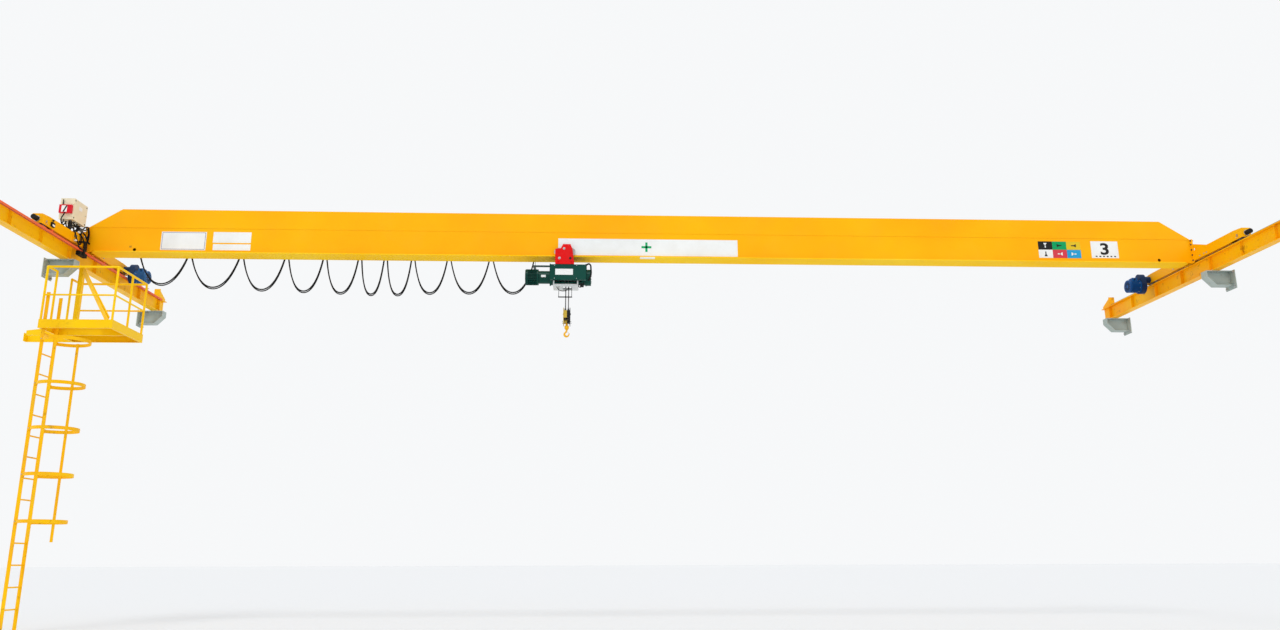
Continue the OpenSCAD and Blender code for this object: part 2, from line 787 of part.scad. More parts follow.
module tube(p, r, n = 8, side = [0, 1, 0]) {
  m = len(p);
  points = [for (i = [0 : m - 1]) for (q = ring(p[i], tangent(p, i), r, n, side)) q];
  walls = [for (i = [0 : m - 2]) for (k = [0 : n - 1])
    for (f = [[i * n + k, (i + 1) * n + k, (i + 1) * n + (k + 1) % n],
              [i * n + k, (i + 1) * n + (k + 1) % n, i * n + (k + 1) % n]]) f];
  caps = concat([for (k = [1 : n - 2]) [0, k, k + 1]],
                [for (k = [1 : n - 2]) [(m - 1) * n, (m - 1) * n + k + 1, (m - 1) * n + k]]);
  polyhedron(points = points, faces = concat(walls, caps));
}

// Cables clipped from the cabinet down the truck to the collector and to the girder

module bridge_cables() {
  color(black) {
    tube([[255, 20, 773], [255, 20, 728], [300, 40, 706], [352, 75, 690], [374, 100, 640],
          [374, 118, 575], [374, 130, 540], [374, 130, 495]], 12, 8, [1, 0, 0]);
    tube([[290, 110, 773], [290, 110, 735], [325, 118, 700], [364, 128, 663], [384, 200, 628],
          [394, 270, 568], [394, 330, 528], [394, 349, 528]], 12, 8, [1, 0, 0]);
  }
}

// Festoon behind the girder

module festoon_track() {
  x0 = festoon_x[0] - 120;
  x1 = girder_x1 - 320;
  color(steel) translate([0, bridge_y + festoon_y, 0]) {
    translate([0, 0, track_z]) along_x(x0, x1) difference() {
      translate([-track_w / 2, 0]) square([track_w, track_h]);
      translate([-track_w / 2 + track_t, track_t]) square([track_w - 2 * track_t, track_h - 2 * track_t]);
      translate([-slot_w / 2, -1]) square([slot_w, 6]);
    }
    steps = 11;
    for (i = [0 : steps - 1])
      translate([x0 + 60 + i * (x1 - x0 - 160) / (steps - 1), -festoon_y + girder_w / 2 - cap_step, track_z + track_h])
        cube([40, festoon_y - girder_w / 2 + cap_step + track_w / 2, 6]);
  }
  color(black) translate([festoon_x[0], bridge_y + festoon_y, festoon_top])
    {
      saddle(track_z - festoon_top);
      translate([-25, -track_w / 2, track_z - festoon_top - 6]) cube([50, track_w, 6]);
    }
}

saddle_r = 30;
saddle_l = 50;
neck_w = 6;

module half_round() {
  rotate([90, 0, 0]) translate([0, 0, -saddle_l / 2]) linear_extrude(saddle_l) intersection() {
    circle(r = saddle_r);
    translate([-saddle_r, -festoon_d / 2]) square([2 * saddle_r, 2 * saddle_r]);
  }
}

// A saddle that the cable hangs over, and its neck up to the track
module saddle(neck) {
  half_round();
  translate([-10, -neck_w / 2, 0]) cube([20, neck_w, neck]);
}

module carrier(k) {
  x = festoon_x[k];
  color(black) translate([x, bridge_y + festoon_y, festoon_top]) {
    saddle(track_z - festoon_top + track_t + seat + 1);
    translate([-28, -10, track_z - festoon_top + track_t + seat]) cube([56, 20, 14]);
  }
}

module carrier_1() { carrier(1); }
module carrier_2() { carrier(2); }
module carrier_3() { carrier(3); }
module carrier_4() { carrier(4); }
module carrier_5() { carrier(5); }
module carrier_6() { carrier(6); }
module carrier_7() { carrier(7); }
module carrier_8() { carrier(8); }
module carrier_9() { carrier(9); }

// One hanging loop between two supports, as a parabola through its lowest point
function loop_point(x0, x1, low, high, u) =
  [x0 + (x1 - x0) * u, bridge_y + festoon_y, low + (high - low) * pow(2 * u - 1, 2)];

// Height of a loop's end, so that its sloping end just reaches the underside of the saddle
function loop_high(span, low) =
  let (steep = 3.43 * (festoon_top - low) / span)
  festoon_top - festoon_d / 2 - seat - festoon_d / 2 / sqrt(1 + steep * steep);

module festoon_cable() {
  rings = 8;
  color(black) for (k = [0 : 9])
  {
    x0 = festoon_x[k] + saddle_r - 12;
    x1 = festoon_x[k + 1] - saddle_r + 12;
    high = loop_high(x1 - x0, festoon_low[k]);
    tube([for (i = [0 : rings - 1]) loop_point(x0, x1, festoon_low[k], high, i / (rings - 1))],
         festoon_d / 2, 8);
  }
}

// Trolley: two side plates with wheels on the lips of the bottom flange, tied below it

plate_top = girder_z + 180;
plate_mid = girder_z + 102;
plate_low = tie_z - 50;
tie_x = trolley_base / 2;

module trolley_plate() {
  rotate([90, 0, 0]) linear_extrude(plate_t)
    polygon([[-152, plate_low], [152, plate_low], [120, plate_mid], [88, plate_top], [-30, plate_top],
             [-62, plate_mid + 12], [-152, plate_mid]]);
}

module trolley_frame() {
  color(trolley_red) translate([trolley_x, bridge_y, 0]) {
    for (s = [-1, 1]) {
      translate([0, s > 0 ? plate_in + plate_t : -plate_in, 0]) trolley_plate();
      for (x = [-trolley_base / 2, trolley_base / 2])
        translate([x, 0, trolley_wheel_z])
          if (s > 0) rod_y(plate_in - 54, plate_in + plate_t + 8, trolley_axle_r);
          else rod_y(-plate_in - plate_t - 8, -plate_in + 54, trolley_axle_r);
    }
    for (x = [-tie_x, tie_x])
      translate([x, 0, tie_z]) rod_y(-plate_in - plate_t - 20, plate_in + plate_t + 20, tie_r);
  }
}

module trolley_wheel(s) {
  y = s * (flange_w / 2 + wheel_gap);
  translate([0, y, 0]) rotate([s > 0 ? 90 : -90, 0, 0]) difference() {
    union() {
      translate([0, 0, -trolley_flange_t]) cylinder(r = trolley_wheel_r + 11, h = trolley_flange_t);
      cylinder(r = trolley_wheel_r, h = 40);
    }
    translate([0, 0, -trolley_flange_t - 1]) cylinder(r = trolley_axle_r + fit, h = 60);
  }
}

module trolley_wheels(x) {
  color(steel) translate([trolley_x + x, bridge_y, trolley_wheel_z])
    for (s = [-1, 1]) trolley_wheel(s);
}

module trolley_wheels_left() { trolley_wheels(-trolley_base / 2); }
module trolley_wheels_right() { trolley_wheels(trolley_base / 2); }

// Hoist body

frame_top = tie_z - 30;
end_plate = 20;
cover_out = 200;                       // drum's centre to the face of the cover on the near side
cover_drop = 88;                       // cover's lower edge below the drum's centre

module hoist_frame() {
  color(hoist_green) translate([0, bridge_y, 0]) {
    difference() {
      union() {
        translate([casing_x0, -110, frame_top - 30]) cube([casing_len, 220, 30]);
        for (x = [-tie_x, tie_x]) for (y = [-70, 70])
          translate([trolley_x + x, y - 10, frame_top - 1]) {
            translate([-30, 0, 0]) cube([60, 20, 31]);
            translate([0, 0, 31]) rod_y(0, 20, 30);
          }
      }
      for (x = [-tie_x, tie_x])
        translate([trolley_x + x, 0, tie_z]) rod_y(-90, 90, tie_r + fit);
    }
    for (x = [casing_x0, casing_x1 - end_plate])
      translate([x, 0, 0]) difference() {
        union() {
          translate([0, -140, drum_z - 60]) cube([end_plate, 280, frame_top - drum_z + 60]);
          translate([0, 0, drum_z]) rod_x(0, end_plate, casing_r + 12);
        }
        translate([0, 0, drum_z]) rod_x(-1, end_plate + 1, 22 + fit);
      }
    translate([casing_x0 + 10, -cover_out, drum_z - cover_drop])
      cube([casing_len - 20, cover_out - 140, plate_low - 8 - drum_z + cover_drop]);
    translate([casing_x1, 0, drum_z]) difference() {
      rod_x(0, 70, casing_r + 6);
      rod_x(-1, 30, 30);
    }
    tow_arm();
  }
}

// Arm from the hoist frame back to the festoon, which tows the last loop
module tow_arm() {
  x = festoon_x[10];
  translate([x - 20, -40, frame_top - 20]) cube([casing_x0 - x + 60, 40, 20]);
  translate([x - 20, -40, frame_top - 20]) cube([40, festoon_y + 40, 20]);
  translate([x - 3, festoon_y - saddle_l / 2 - 6, frame_top - 20]) cube([6, 12, festoon_top - frame_top + 20]);
  translate([x, festoon_y, festoon_top]) half_round();
}

brake_len = 188;
brake_r = 103;

module hoist_motor() {
  x1 = casing_x0;
  x0 = x1 - brake_len - motor_len;
  color(hoist_green) translate([0, bridge_y, drum_z]) {
    difference() {
      rod_x(x1 - brake_len, x1, brake_r);
      rod_x(x1 - 30, x1 + 1, 30);
    }
    rod_x(x1 - brake_len - 14, x1 - brake_len + 10, motor_r);
    rod_x(x0, x1 - brake_len, motor_r - 18);
    rod_x(x0, x0 + 45, motor_r - 4);
    for (a = [0 : 15 : 345]) rotate([a, 0, 0])
      translate([x0 + 10, -3, motor_r - 22]) cube([motor_len - 20, 6, 22]);
  }
}

rope_slot = 24;

module hoist_casing() {
  color(hoist_green) translate([0, bridge_y, drum_z]) difference() {
    rod_x(casing_x0 + end_plate, casing_x1 - end_plate, casing_r);
    rod_x(casing_x0, casing_x1, casing_r - 6);
    for (s = [-1, 1])
      translate([casing_x0 + 80, s * groove_r - rope_slot / 2, -casing_r - 1])
        cube([casing_len - 160, rope_slot, casing_r]);
  }
}

module rope_drum() {
  color(steel) translate([0, bridge_y, drum_z]) {
    rod_x(casing_x0 - 20, casing_x1 + 20, 22);
    rod_x(casing_x0 + end_plate + 8, casing_x1 - end_plate - 8, drum_core_r);
    for (x = [casing_x0 + end_plate + 8, casing_x1 - end_plate - 20]) translate([x, 0, 0]) rod_x(0, 12, 110);
  }
}

guide_x0 = casing_x0 + 58;
guide_len = 400;
guide_w = 2 * casing_r + 6;
guide_h = 40;
guide_low = casing_r + 55;             // underside of the guide below the drum's centre
trip_drop = 173;
trip_x = [-130, 75];                   // the trip bar's two rods, from the hook block's centre
upright_w = 20;

module rope_guide() {
  trip_y = -guide_w / 2 + 12;
  color([0.85, 0.86, 0.84]) translate([0, bridge_y, drum_z]) {
    difference() {
      translate([guide_x0, -guide_w / 2, -guide_low]) cube([guide_len, guide_w, guide_h]);
      translate([block_x - 70, -guide_w / 2 + 25, -guide_low - 1]) cube([140, guide_w - 50, guide_h + 2]);
    }
    for (x = [guide_x0, guide_x0 + guide_len - upright_w]) for (s = [-1, 1])
      translate([x, s > 0 ? casing_r : -casing_r - 10, -guide_low + guide_h / 2])
        cube([upright_w, 10, guide_low - guide_h / 2]);
    for (x = trip_x)
      translate([block_x + x, trip_y, -guide_low - trip_drop]) cylinder(r = 4, h = trip_drop + 1);
    translate([block_x, trip_y, -guide_low - trip_drop]) rod_x(trip_x[0] - 8, trip_x[1] + 8, 9);
  }
}

// Ropes from the drum to the two sheaves of the hook block

fall_top = drum_z;

module hoist_ropes() {
  color([0.3, 0.3, 0.32]) for (i = [-1, 1]) for (s = [-1, 1])
    translate([block_x + i * (sheave_t + sheave_gap) / 2, bridge_y + s * groove_r, sheave_z])
      cylinder(r = rope_r, h = fall_top - sheave_z, $fn = 24);
}

// The turn of each rope under its sheave
module rope_turns() {
  color([0.3, 0.3, 0.32]) translate([block_x, bridge_y, sheave_z])
    for (i = [-1, 1]) translate([i * (sheave_t + sheave_gap) / 2, 0, 0])
      rotate([0, 90, 0]) rotate([0, 0, -90]) rotate_extrude(angle = 180)
        translate([groove_r, 0]) circle(r = rope_r, $fn = 24);
}

block_w = 2 * sheave_t + sheave_gap + 36;
cheek_t = 8;
swivel_z = sheave_z - 215;

cheek_out = sheave_r + 13;
cheek_low = 185;
yoke_z = -150;
yoke_t = 34;
shield_t = 4;

module hook_block() {
  color([0.95, 0.75, 0.05]) translate([block_x, bridge_y, sheave_z]) {
    difference() {
      union() {
        for (x = [-block_w / 2, block_w / 2 - cheek_t])
          rotate([90, 0, 90]) translate([0, 0, x]) linear_extrude(cheek_t)
            polygon([[-70, 92], [70, 92], [cheek_out, 40], [cheek_out, -80], [60, -cheek_low],
                     [-60, -cheek_low], [-cheek_out, -80], [-cheek_out, 40]]);
        translate([-block_w / 2, -45, yoke_z]) cube([block_w, 90, yoke_t]);
        rod_x(-block_w / 2 - 8, block_w / 2 + 8, pin_r);
        for (y = [-cheek_out, cheek_out - shield_t]) translate([-block_w / 2, y, -80]) cube([block_w, shield_t, 120]);
      }
      translate([0, 0, yoke_z - 10]) cylinder(r = 18 + fit, h = 60);
    }
  }
}

module hook_sheaves() {
  color(steel) translate([block_x, bridge_y, sheave_z]) rotate([0, 90, 0])
    for (i = [-1, 1]) translate([0, 0, i * (sheave_t + sheave_gap) / 2]) rotate_extrude()
      polygon([[pin_r + fit, -sheave_t / 2], [40, -sheave_t / 2], [40, -6], [groove_r - 18, -6],
               [sheave_r, -sheave_t / 2], [groove_r - rope_r - seat, -rope_r - 1],
               [groove_r - rope_r - seat, rope_r + 1], [sheave_r, sheave_t / 2],
               [groove_r - 18, 6], [40, 6], [40, sheave_t / 2], [pin_r + fit, sheave_t / 2]]);
}

// Hook on its swivel: a point hook of round section that thickens at the bend

hook_r = 46;
hook_z = swivel_z - 100;

module hook() {
  color([0.95, 0.75, 0.05]) translate([block_x, bridge_y, 0]) {
    translate([0, 0, hook_z + hook_r]) cylinder(r = 18, h = sheave_z - 104 - hook_z - hook_r);
    translate([0, 0, sheave_z - 116 + seat]) cylinder(r = 30, h = 13);
    translate([0, 0, hook_z + hook_r - 6]) cylinder(r1 = 20, r2 = 26, h = 30);
    translate([0, 0, hook_z]) rotate([90, 0, 0]) {
      rotate([0, 0, 90]) rotate_extrude(angle = 250) translate([hook_r, 0]) circle(r = 17);
      rotate([0, 0, -20]) translate([hook_r, -0.5, 0]) rotate([-90, 0, 0]) cylinder(r1 = 16.8, r2 = 9, h = 40);
    }
  }
}

runway_beam_left();
runway_beam_right();
runway_rails();
corbels_left();
corbels_right();
conductor_bar();
platform_deck();
platform_rails();
platform_hanger();
ladder();
ladder_cage();
girder();
girder_flange();
truck_left();
truck_right();
buffers();
drive_motors();
drive_gearboxes();
control_cabinet();
cabinet_door();
warning_light();
collector();
bridge_cables();
festoon_track();
festoon_cable();
carrier_1();
carrier_2();
carrier_3();
carrier_4();
carrier_5();
carrier_6();
carrier_7();
carrier_8();
carrier_9();
wheel_left_near();
wheel_left_far();
wheel_right_near();
wheel_right_far();
trolley_frame();
trolley_wheels_left();
trolley_wheels_right();
hoist_frame();
hoist_motor();
hoist_casing();
rope_drum();
rope_guide();
hoist_ropes();
rope_turns();
hook_block();
hook_sheaves();
hook();
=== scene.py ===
import math
import bpy
import bmesh
from mathutils import Matrix, Vector


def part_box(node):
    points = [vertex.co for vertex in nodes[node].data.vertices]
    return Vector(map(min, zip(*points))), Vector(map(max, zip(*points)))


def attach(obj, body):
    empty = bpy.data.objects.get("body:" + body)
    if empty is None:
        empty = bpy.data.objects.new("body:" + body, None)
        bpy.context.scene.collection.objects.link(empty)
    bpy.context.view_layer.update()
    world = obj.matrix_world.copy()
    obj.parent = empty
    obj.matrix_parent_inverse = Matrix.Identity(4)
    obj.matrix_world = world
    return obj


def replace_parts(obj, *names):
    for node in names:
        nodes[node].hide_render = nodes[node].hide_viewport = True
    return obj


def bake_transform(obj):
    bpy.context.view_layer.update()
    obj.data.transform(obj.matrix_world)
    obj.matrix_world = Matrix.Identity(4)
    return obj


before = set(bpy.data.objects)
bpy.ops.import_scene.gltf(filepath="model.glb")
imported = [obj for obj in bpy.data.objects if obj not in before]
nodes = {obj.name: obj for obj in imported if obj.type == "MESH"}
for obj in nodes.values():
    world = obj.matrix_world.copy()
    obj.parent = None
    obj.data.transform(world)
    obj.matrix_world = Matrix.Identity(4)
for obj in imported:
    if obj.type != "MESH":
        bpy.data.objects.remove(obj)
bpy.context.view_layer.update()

# Camera
# It stands on the shop floor between the two runways, about a metre up, and looks along them with
# the bridge ahead and above. Its place and angles come from the straight edges of the photograph.
view_from = Vector((8.370, -14.950, -4.372))
view_pitch = math.radians(13.996)
view_yaw = math.radians(2.579)
view_roll = math.radians(-0.178)
lens_mm = 28.02
sensor_mm = 36.0
view_end = 900.0

forward = Vector((
    math.sin(view_yaw) * math.cos(view_pitch),
    math.cos(view_yaw) * math.cos(view_pitch),
    math.sin(view_pitch),
))
level = Vector((math.cos(view_yaw), -math.sin(view_yaw), 0))
upward = level.cross(forward)
right = level * math.cos(view_roll) + upward * math.sin(view_roll)
up = upward * math.cos(view_roll) - level * math.sin(view_roll)
camera_data = bpy.data.cameras.new("camera")
camera_data.lens = lens_mm
camera_data.sensor_width = sensor_mm
camera_data.clip_end = view_end
camera = bpy.data.objects.new("camera", camera_data)
camera.matrix_world = Matrix((
    (right.x, up.x, -forward.x, view_from.x),
    (right.y, up.y, -forward.y, view_from.y),
    (right.z, up.z, -forward.z, view_from.z),
    (0, 0, 0, 1),
))
bpy.context.scene.collection.objects.link(camera)
bpy.context.scene.camera = camera
bpy.context.scene.view_settings.view_transform = "Standard"

# Light and floor
# A pale floor under the crane, soft daylight from above, and broad fills from low in front and
# from both sides, because the crane is seen from below.
floor_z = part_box("ladder")[0].z
floor_half = 450
floor_x = 9.0
daylight = 0.82
backdrop = 1.0

bm = bmesh.new()
bmesh.ops.create_grid(bm, x_segments=1, y_segments=1, size=floor_half)
bmesh.ops.translate(bm, verts=bm.verts, vec=(floor_x, 0, floor_z))
floor_mesh = bpy.data.meshes.new("floor")
bm.to_mesh(floor_mesh)
bm.free()
floor = bpy.data.objects.new("floor", floor_mesh)
bpy.context.scene.collection.objects.link(floor)
floor_paint = bpy.data.materials.new("floor_paint")
floor_paint.use_nodes = True
floor_shader = floor_paint.node_tree.nodes["Principled BSDF"]
floor_shader.inputs["Base Color"].default_value = (0.84, 0.845, 0.845, 1)
floor_shader.inputs["Roughness"].default_value = 0.7
floor.data.materials.append(floor_paint)

world = bpy.data.worlds.new("daylight")
bpy.context.scene.world = world
world.use_nodes = True
sky = world.node_tree
sky_light = sky.nodes["Background"]
sky_light.inputs["Color"].default_value = (0.95, 0.97, 1.0, 1)
sky_light.inputs["Strength"].default_value = daylight
sky_seen = sky.nodes.new("ShaderNodeBackground")
sky_seen.inputs["Color"].default_value = (0.93, 0.94, 0.95, 1)
sky_seen.inputs["Strength"].default_value = backdrop
sky_ray = sky.nodes.new("ShaderNodeLightPath")
sky_mix = sky.nodes.new("ShaderNodeMixShader")
seen = sky_ray.outputs["Is Camera Ray"]
for kind in ("Is Glossy Ray", "Is Transmission Ray"):
    either = sky.nodes.new("ShaderNodeMath")
    either.operation = "MAXIMUM"
    sky.links.new(seen, either.inputs[0])
    sky.links.new(sky_ray.outputs[kind], either.inputs[1])
    seen = either.outputs[0]
sky.links.new(seen, sky_mix.inputs[0])
sky.links.new(sky_light.outputs[0], sky_mix.inputs[1])
sky.links.new(sky_seen.outputs[0], sky_mix.inputs[2])
sky.links.new(sky_mix.outputs[0], sky.nodes["World Output"].inputs["Surface"])

lamps = (
    ("roof_light", 0.9, (0.1, 0.55, -0.8), 20),
    ("front_fill", 0.5, (0.05, 0.9, 0.25), 40),
    ("left_fill", 0.75, (0.95, 0.2, 0.1), 40),
    ("right_fill", 0.75, (-0.95, 0.2, 0.1), 40),
)
for name, strength, towards, soft in lamps:
    lamp = bpy.data.lights.new(name, "SUN")
    lamp.energy = strength
    lamp.angle = math.radians(soft)
    holder = bpy.data.objects.new(name, lamp)
    holder.rotation_euler = Vector(towards).to_track_quat("-Z", "Y").to_euler()
    bpy.context.scene.collection.objects.link(holder)

# Runway beams
# Two rolled I-beams with web stiffeners and end stops, brushed with orange-yellow enamel on
# site. A flat bar welded along the top of each is the rail. Bolts and nuts clamp the beams to
# the corbels.
runway = "runway"
rail_at = (0.27, 18.27)
beam_under = 0.15
beam_top = 0.40
bay = 3.2
bay_rows = range(-3, 2)
flange_above = beam_under + 0.009
seat_under = beam_under - 0.012
seat_bolt = (0.042, 0.048)
seat_bolt_r = 0.011
weld_count = 42
weld_from = -9.45
weld_pitch = 0.3
weld_length = 0.07
weld_out = 0.026
weld_r = 0.005


def noise_at(tree, scale, detail=4.0, rough=0.55, stretch=(1, 1, 1)):
    where = tree.nodes.new("ShaderNodeTexCoord")
    turn = tree.nodes.new("ShaderNodeMapping")
    turn.inputs["Scale"].default_value = stretch
    noise = tree.nodes.new("ShaderNodeTexNoise")
    noise.inputs["Scale"].default_value = scale
    noise.inputs["Detail"].default_value = detail
    noise.inputs["Roughness"].default_value = rough
    tree.links.new(where.outputs["Object"], turn.inputs["Vector"])
    tree.links.new(turn.outputs["Vector"], noise.inputs["Vector"])
    return noise.outputs["Fac"]


def ramp_of(tree, value, low, high):
    ramp = tree.nodes.new("ShaderNodeMapRange")
    ramp.inputs["From Min"].default_value = low
    ramp.inputs["From Max"].default_value = high
    tree.links.new(value, ramp.inputs["Value"])
    return ramp.outputs[0]


def product_of(tree, first, second):
    times = tree.nodes.new("ShaderNodeMath")
    times.operation = "MULTIPLY"
    tree.links.new(first, times.inputs[0])
    tree.links.new(second, times.inputs[1])
    return times.outputs[0]


def mix_of(tree, share, under, over):
    mixed = tree.nodes.new("ShaderNodeMix")
    mixed.data_type = "RGBA"
    tree.links.new(share, mixed.inputs["Factor"])
    for key, value in (("A", under), ("B", over)):
        if isinstance(value, tuple):
            mixed.inputs[key].default_value = (*value, 1)
        else:
            tree.links.new(value, mixed.inputs[key])
    return mixed.outputs["Result"]


def open_group(name, sockets):
    group = bpy.data.node_groups.new(name, "ShaderNodeTree")
    for label, kind in sockets:
        group.interface.new_socket(label, in_out="INPUT", socket_type="NodeSocket" + kind)
    group.interface.new_socket("Color", in_out="OUTPUT", socket_type="NodeSocketColor")
    group.interface.new_socket("Roughness", in_out="OUTPUT", socket_type="NodeSocketFloat")
    group.interface.new_socket("Height", in_out="OUTPUT", socket_type="NodeSocketFloat")
    given = group.nodes.new("NodeGroupInput").outputs
    out = group.nodes.new("NodeGroupOutput").inputs
    return group, given, out


def close_group(group, out, colour, share, base, weight, height):
    group.links.new(colour, out["Color"])
    rough = group.nodes.new("ShaderNodeMath")
    rough.operation = "MULTIPLY_ADD"
    rough.inputs[1].default_value = weight
    group.links.new(share, rough.inputs[0])
    group.links.new(base, rough.inputs[2])
    group.links.new(rough.outputs[0], out["Roughness"])
    group.links.new(height, out["Height"])


dry_rust = (0.16, 0.045, 0.015)
mill_rust = (0.12, 0.04, 0.018)

enamel, given, out = open_group("enamel_skin", (
    ("Paint", "Color"), ("Deep", "Color"), ("Dust", "Color"),
    ("Dust amount", "Float"), ("Rust amount", "Float"), ("Base roughness", "Float"),
))
drift = ramp_of(enamel, noise_at(enamel, 0.9, 3.0, 0.5), 0.3, 0.72)
coat = mix_of(enamel, drift, given["Deep"], given["Paint"])
# The Dust colour is real dust on most paints; on the drive motors it also stands for painted
# highlights.
dust_and_sheen_share = ramp_of(enamel, noise_at(enamel, 2.1, 7.0, 0.66), 0.46, 0.8)
dust_and_sheen_share = product_of(enamel, dust_and_sheen_share, given["Dust amount"])
coat = mix_of(enamel, dust_and_sheen_share, coat, given["Dust"])
scab = ramp_of(enamel, noise_at(enamel, 9.0, 9.0, 0.72), 0.58, 0.64)
scab = product_of(enamel, scab, given["Rust amount"])
coat = mix_of(enamel, scab, coat, dry_rust)
close_group(enamel, out, coat, dust_and_sheen_share, given["Base roughness"], 0.6,
            noise_at(enamel, 70.0, 2.0, 0.5))

metal, given, out = open_group("rolled_steel", (
    ("Steel", "Color"), ("Scale", "Color"), ("Rust amount", "Float"), ("Base roughness", "Float"),
))
skin = ramp_of(metal, noise_at(metal, 14.0, 6.0, 0.6), 0.35, 0.68)
coat = mix_of(metal, skin, given["Scale"], given["Steel"])
scab = ramp_of(metal, noise_at(metal, 5.0, 9.0, 0.7), 0.47, 0.66)
scab = product_of(metal, scab, given["Rust amount"])
coat = mix_of(metal, scab, coat, mill_rust)
drawn = noise_at(metal, 120.0, 3.0, 0.6, (1, 0.1, 1))
close_group(metal, out, coat, scab, given["Base roughness"], 0.5, drawn)


def finish_of(name, group, bump, metallic=0.0, **values):
    paint = bpy.data.materials.new(name)
    paint.use_nodes = True
    tree = paint.node_tree
    shader = tree.nodes["Principled BSDF"]
    shader.inputs["Metallic"].default_value = metallic
    skin = tree.nodes.new("ShaderNodeGroup")
    skin.node_tree = group
    for key, value in values.items():
        socket = skin.inputs[key.replace("_", " ")]
        socket.default_value = (*value, 1) if isinstance(value, tuple) else value
    lift = tree.nodes.new("ShaderNodeBump")
    lift.inputs["Strength"].default_value = bump
    lift.inputs["Distance"].default_value = 0.002
    tree.links.new(skin.outputs["Color"], shader.inputs["Base Color"])
    tree.links.new(skin.outputs["Roughness"], shader.inputs["Roughness"])
    tree.links.new(skin.outputs["Height"], lift.inputs["Height"])
    tree.links.new(lift.outputs["Normal"], shader.inputs["Normal"])
    return paint


def enamel_paint(name, paint, deep, dust_and_sheen=(0.3, 0.26, 0.2), amount=0.15, rust=0.0, rough=0.38,
                 bump=0.06, specular=0.12):
    coat = finish_of(name, enamel, bump, Paint=paint, Deep=deep, Dust=dust_and_sheen, Dust_amount=amount,
                     Rust_amount=rust, Base_roughness=rough)
    coat.node_tree.nodes["Principled BSDF"].inputs["Specular IOR Level"].default_value = specular
    return coat


def steel_finish(name, steel, scale, rust=0.2, rough=0.38, bump=0.1, metallic=0.7):
    return finish_of(name, metal, bump, metallic, Steel=steel, Scale=scale, Rust_amount=rust,
                     Base_roughness=rough)


def split_at(material, axis, edge, colour, above=True):
    tree = material.node_tree
    shader = tree.nodes["Principled BSDF"]
    where = tree.nodes.new("ShaderNodeTexCoord")
    parts = tree.nodes.new("ShaderNodeSeparateXYZ")
    tree.links.new(where.outputs["Object"], parts.inputs[0])
    side = ramp_of(tree, parts.outputs[axis], edge, edge + (0.001 if above else -0.001))
    coat = shader.inputs["Base Color"].links[0].from_socket
    tree.links.new(mix_of(tree, side, coat, colour), shader.inputs["Base Color"])


def dress(material, slot, *names):
    for name in names:
        nodes[name].data.materials.clear()
        nodes[name].data.materials.append(material)


def box_into(bm, low, high):
    low, high = Vector(low), Vector(high)
    made = bmesh.ops.create_cube(bm, size=1)["verts"]
    bmesh.ops.scale(bm, verts=made, vec=high - low)
    bmesh.ops.translate(bm, verts=made, vec=(low + high) / 2)
    return made


def rod_into(bm, start, end, r, sides=16, end_r=None):
    start, end = Vector(start), Vector(end)
    line = end - start
    turn = line.to_track_quat("Z", "Y").to_matrix().to_4x4()
    return bmesh.ops.create_cone(bm, cap_ends=True, segments=sides, radius1=r,
                                 radius2=r if end_r is None else end_r, depth=line.length,
                                 matrix=Matrix.Translation((start + end) / 2) @ turn)["verts"]


def bolt_into(bm, foot, out, r):
    foot, out = Vector(foot), Vector(out).normalized()
    washer, head, shank = 0.003, 0.003 + r * 0.75, 0.003 + r * 1.1
    rod_into(bm, foot - out * 0.001, foot + out * washer, r * 1.25, 16)
    rod_into(bm, foot + out * washer, foot + out * head, r, 6)
    rod_into(bm, foot + out * head, foot + out * shank, r * 0.55, 10)


def placed(mesh, name, material, body):
    made = bpy.data.objects.new(name, mesh)
    bpy.context.scene.collection.objects.link(made)
    mesh.materials.clear()
    mesh.materials.append(material)
    if body:
        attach(made, body)
    return made


def piece(bm, name, material, body, bevel=0.0, smooth=False):
    if bevel:
        sharp = [e for e in bm.edges if len(e.link_faces) == 2 and e.calc_face_angle() > 0.6]
        bmesh.ops.bevel(bm, geom=sharp, offset=bevel, affect="EDGES", segments=2, profile=0.5,
                        material=-1)
    bmesh.ops.recalc_face_normals(bm, faces=bm.faces)
    for face in bm.faces:
        face.smooth = smooth
    mesh = bpy.data.meshes.new(name)
    bm.to_mesh(mesh)
    bm.free()
    return placed(mesh, name, material, body)


# Both beams wear the same enamel: the left gets a lighter, yellower copy and the right a darker,
# more orange one, as painted light and painted shade.
left_lit_paint = enamel_paint("left_beam_lit_paint", (1.0, 0.6, 0.001), (1.0, 0.5, 0.001), amount=0.06,
                          rust=0.3)
right_shaded_paint = enamel_paint("right_beam_shaded_paint", (1.0, 0.55, 0.001), (1.0, 0.42, 0.001), amount=0.08,
                           rust=0.4)
zinc = steel_finish("zinc_bolt", (0.62, 0.63, 0.62), (0.42, 0.43, 0.43), rust=0.15, rough=0.35)
rail_steel = steel_finish("rail_steel", (0.34, 0.3, 0.27), (0.16, 0.1, 0.07), rust=0.85, rough=0.5)
split_at(rail_steel, "Z", 0.4235, (0.5, 0.5, 0.5))
dress(left_lit_paint, "runway_yellow", "runway_beam_left")
dress(right_shaded_paint, "runway_yellow", "runway_beam_right")
dress(rail_steel, "rail_steel", "runway_rails")

bm = bmesh.new()
for rail_x in rail_at:
    for row in bay_rows:
        for side in (-1, 1):
            for end in (-1, 1):
                x = rail_x + side * seat_bolt[0]
                y = row * bay + end * seat_bolt[1]
                bolt_into(bm, (x, y, seat_under), (0, 0, -1), seat_bolt_r)
                bolt_into(bm, (x, y, flange_above), (0, 0, 1), seat_bolt_r)
piece(bm, "beam_seat_bolts", zinc, runway)

bm = bmesh.new()
for x in rail_at:
    for side in (-1, 1):
        for step in range(weld_count):
            start = Vector((x + side * weld_out, weld_from + step * weld_pitch, beam_top + 0.001))
            rod_into(bm, start, start + Vector((0, weld_length, 0)), weld_r, 8)
piece(bm, "rail_welds", left_lit_paint, runway, smooth=True)

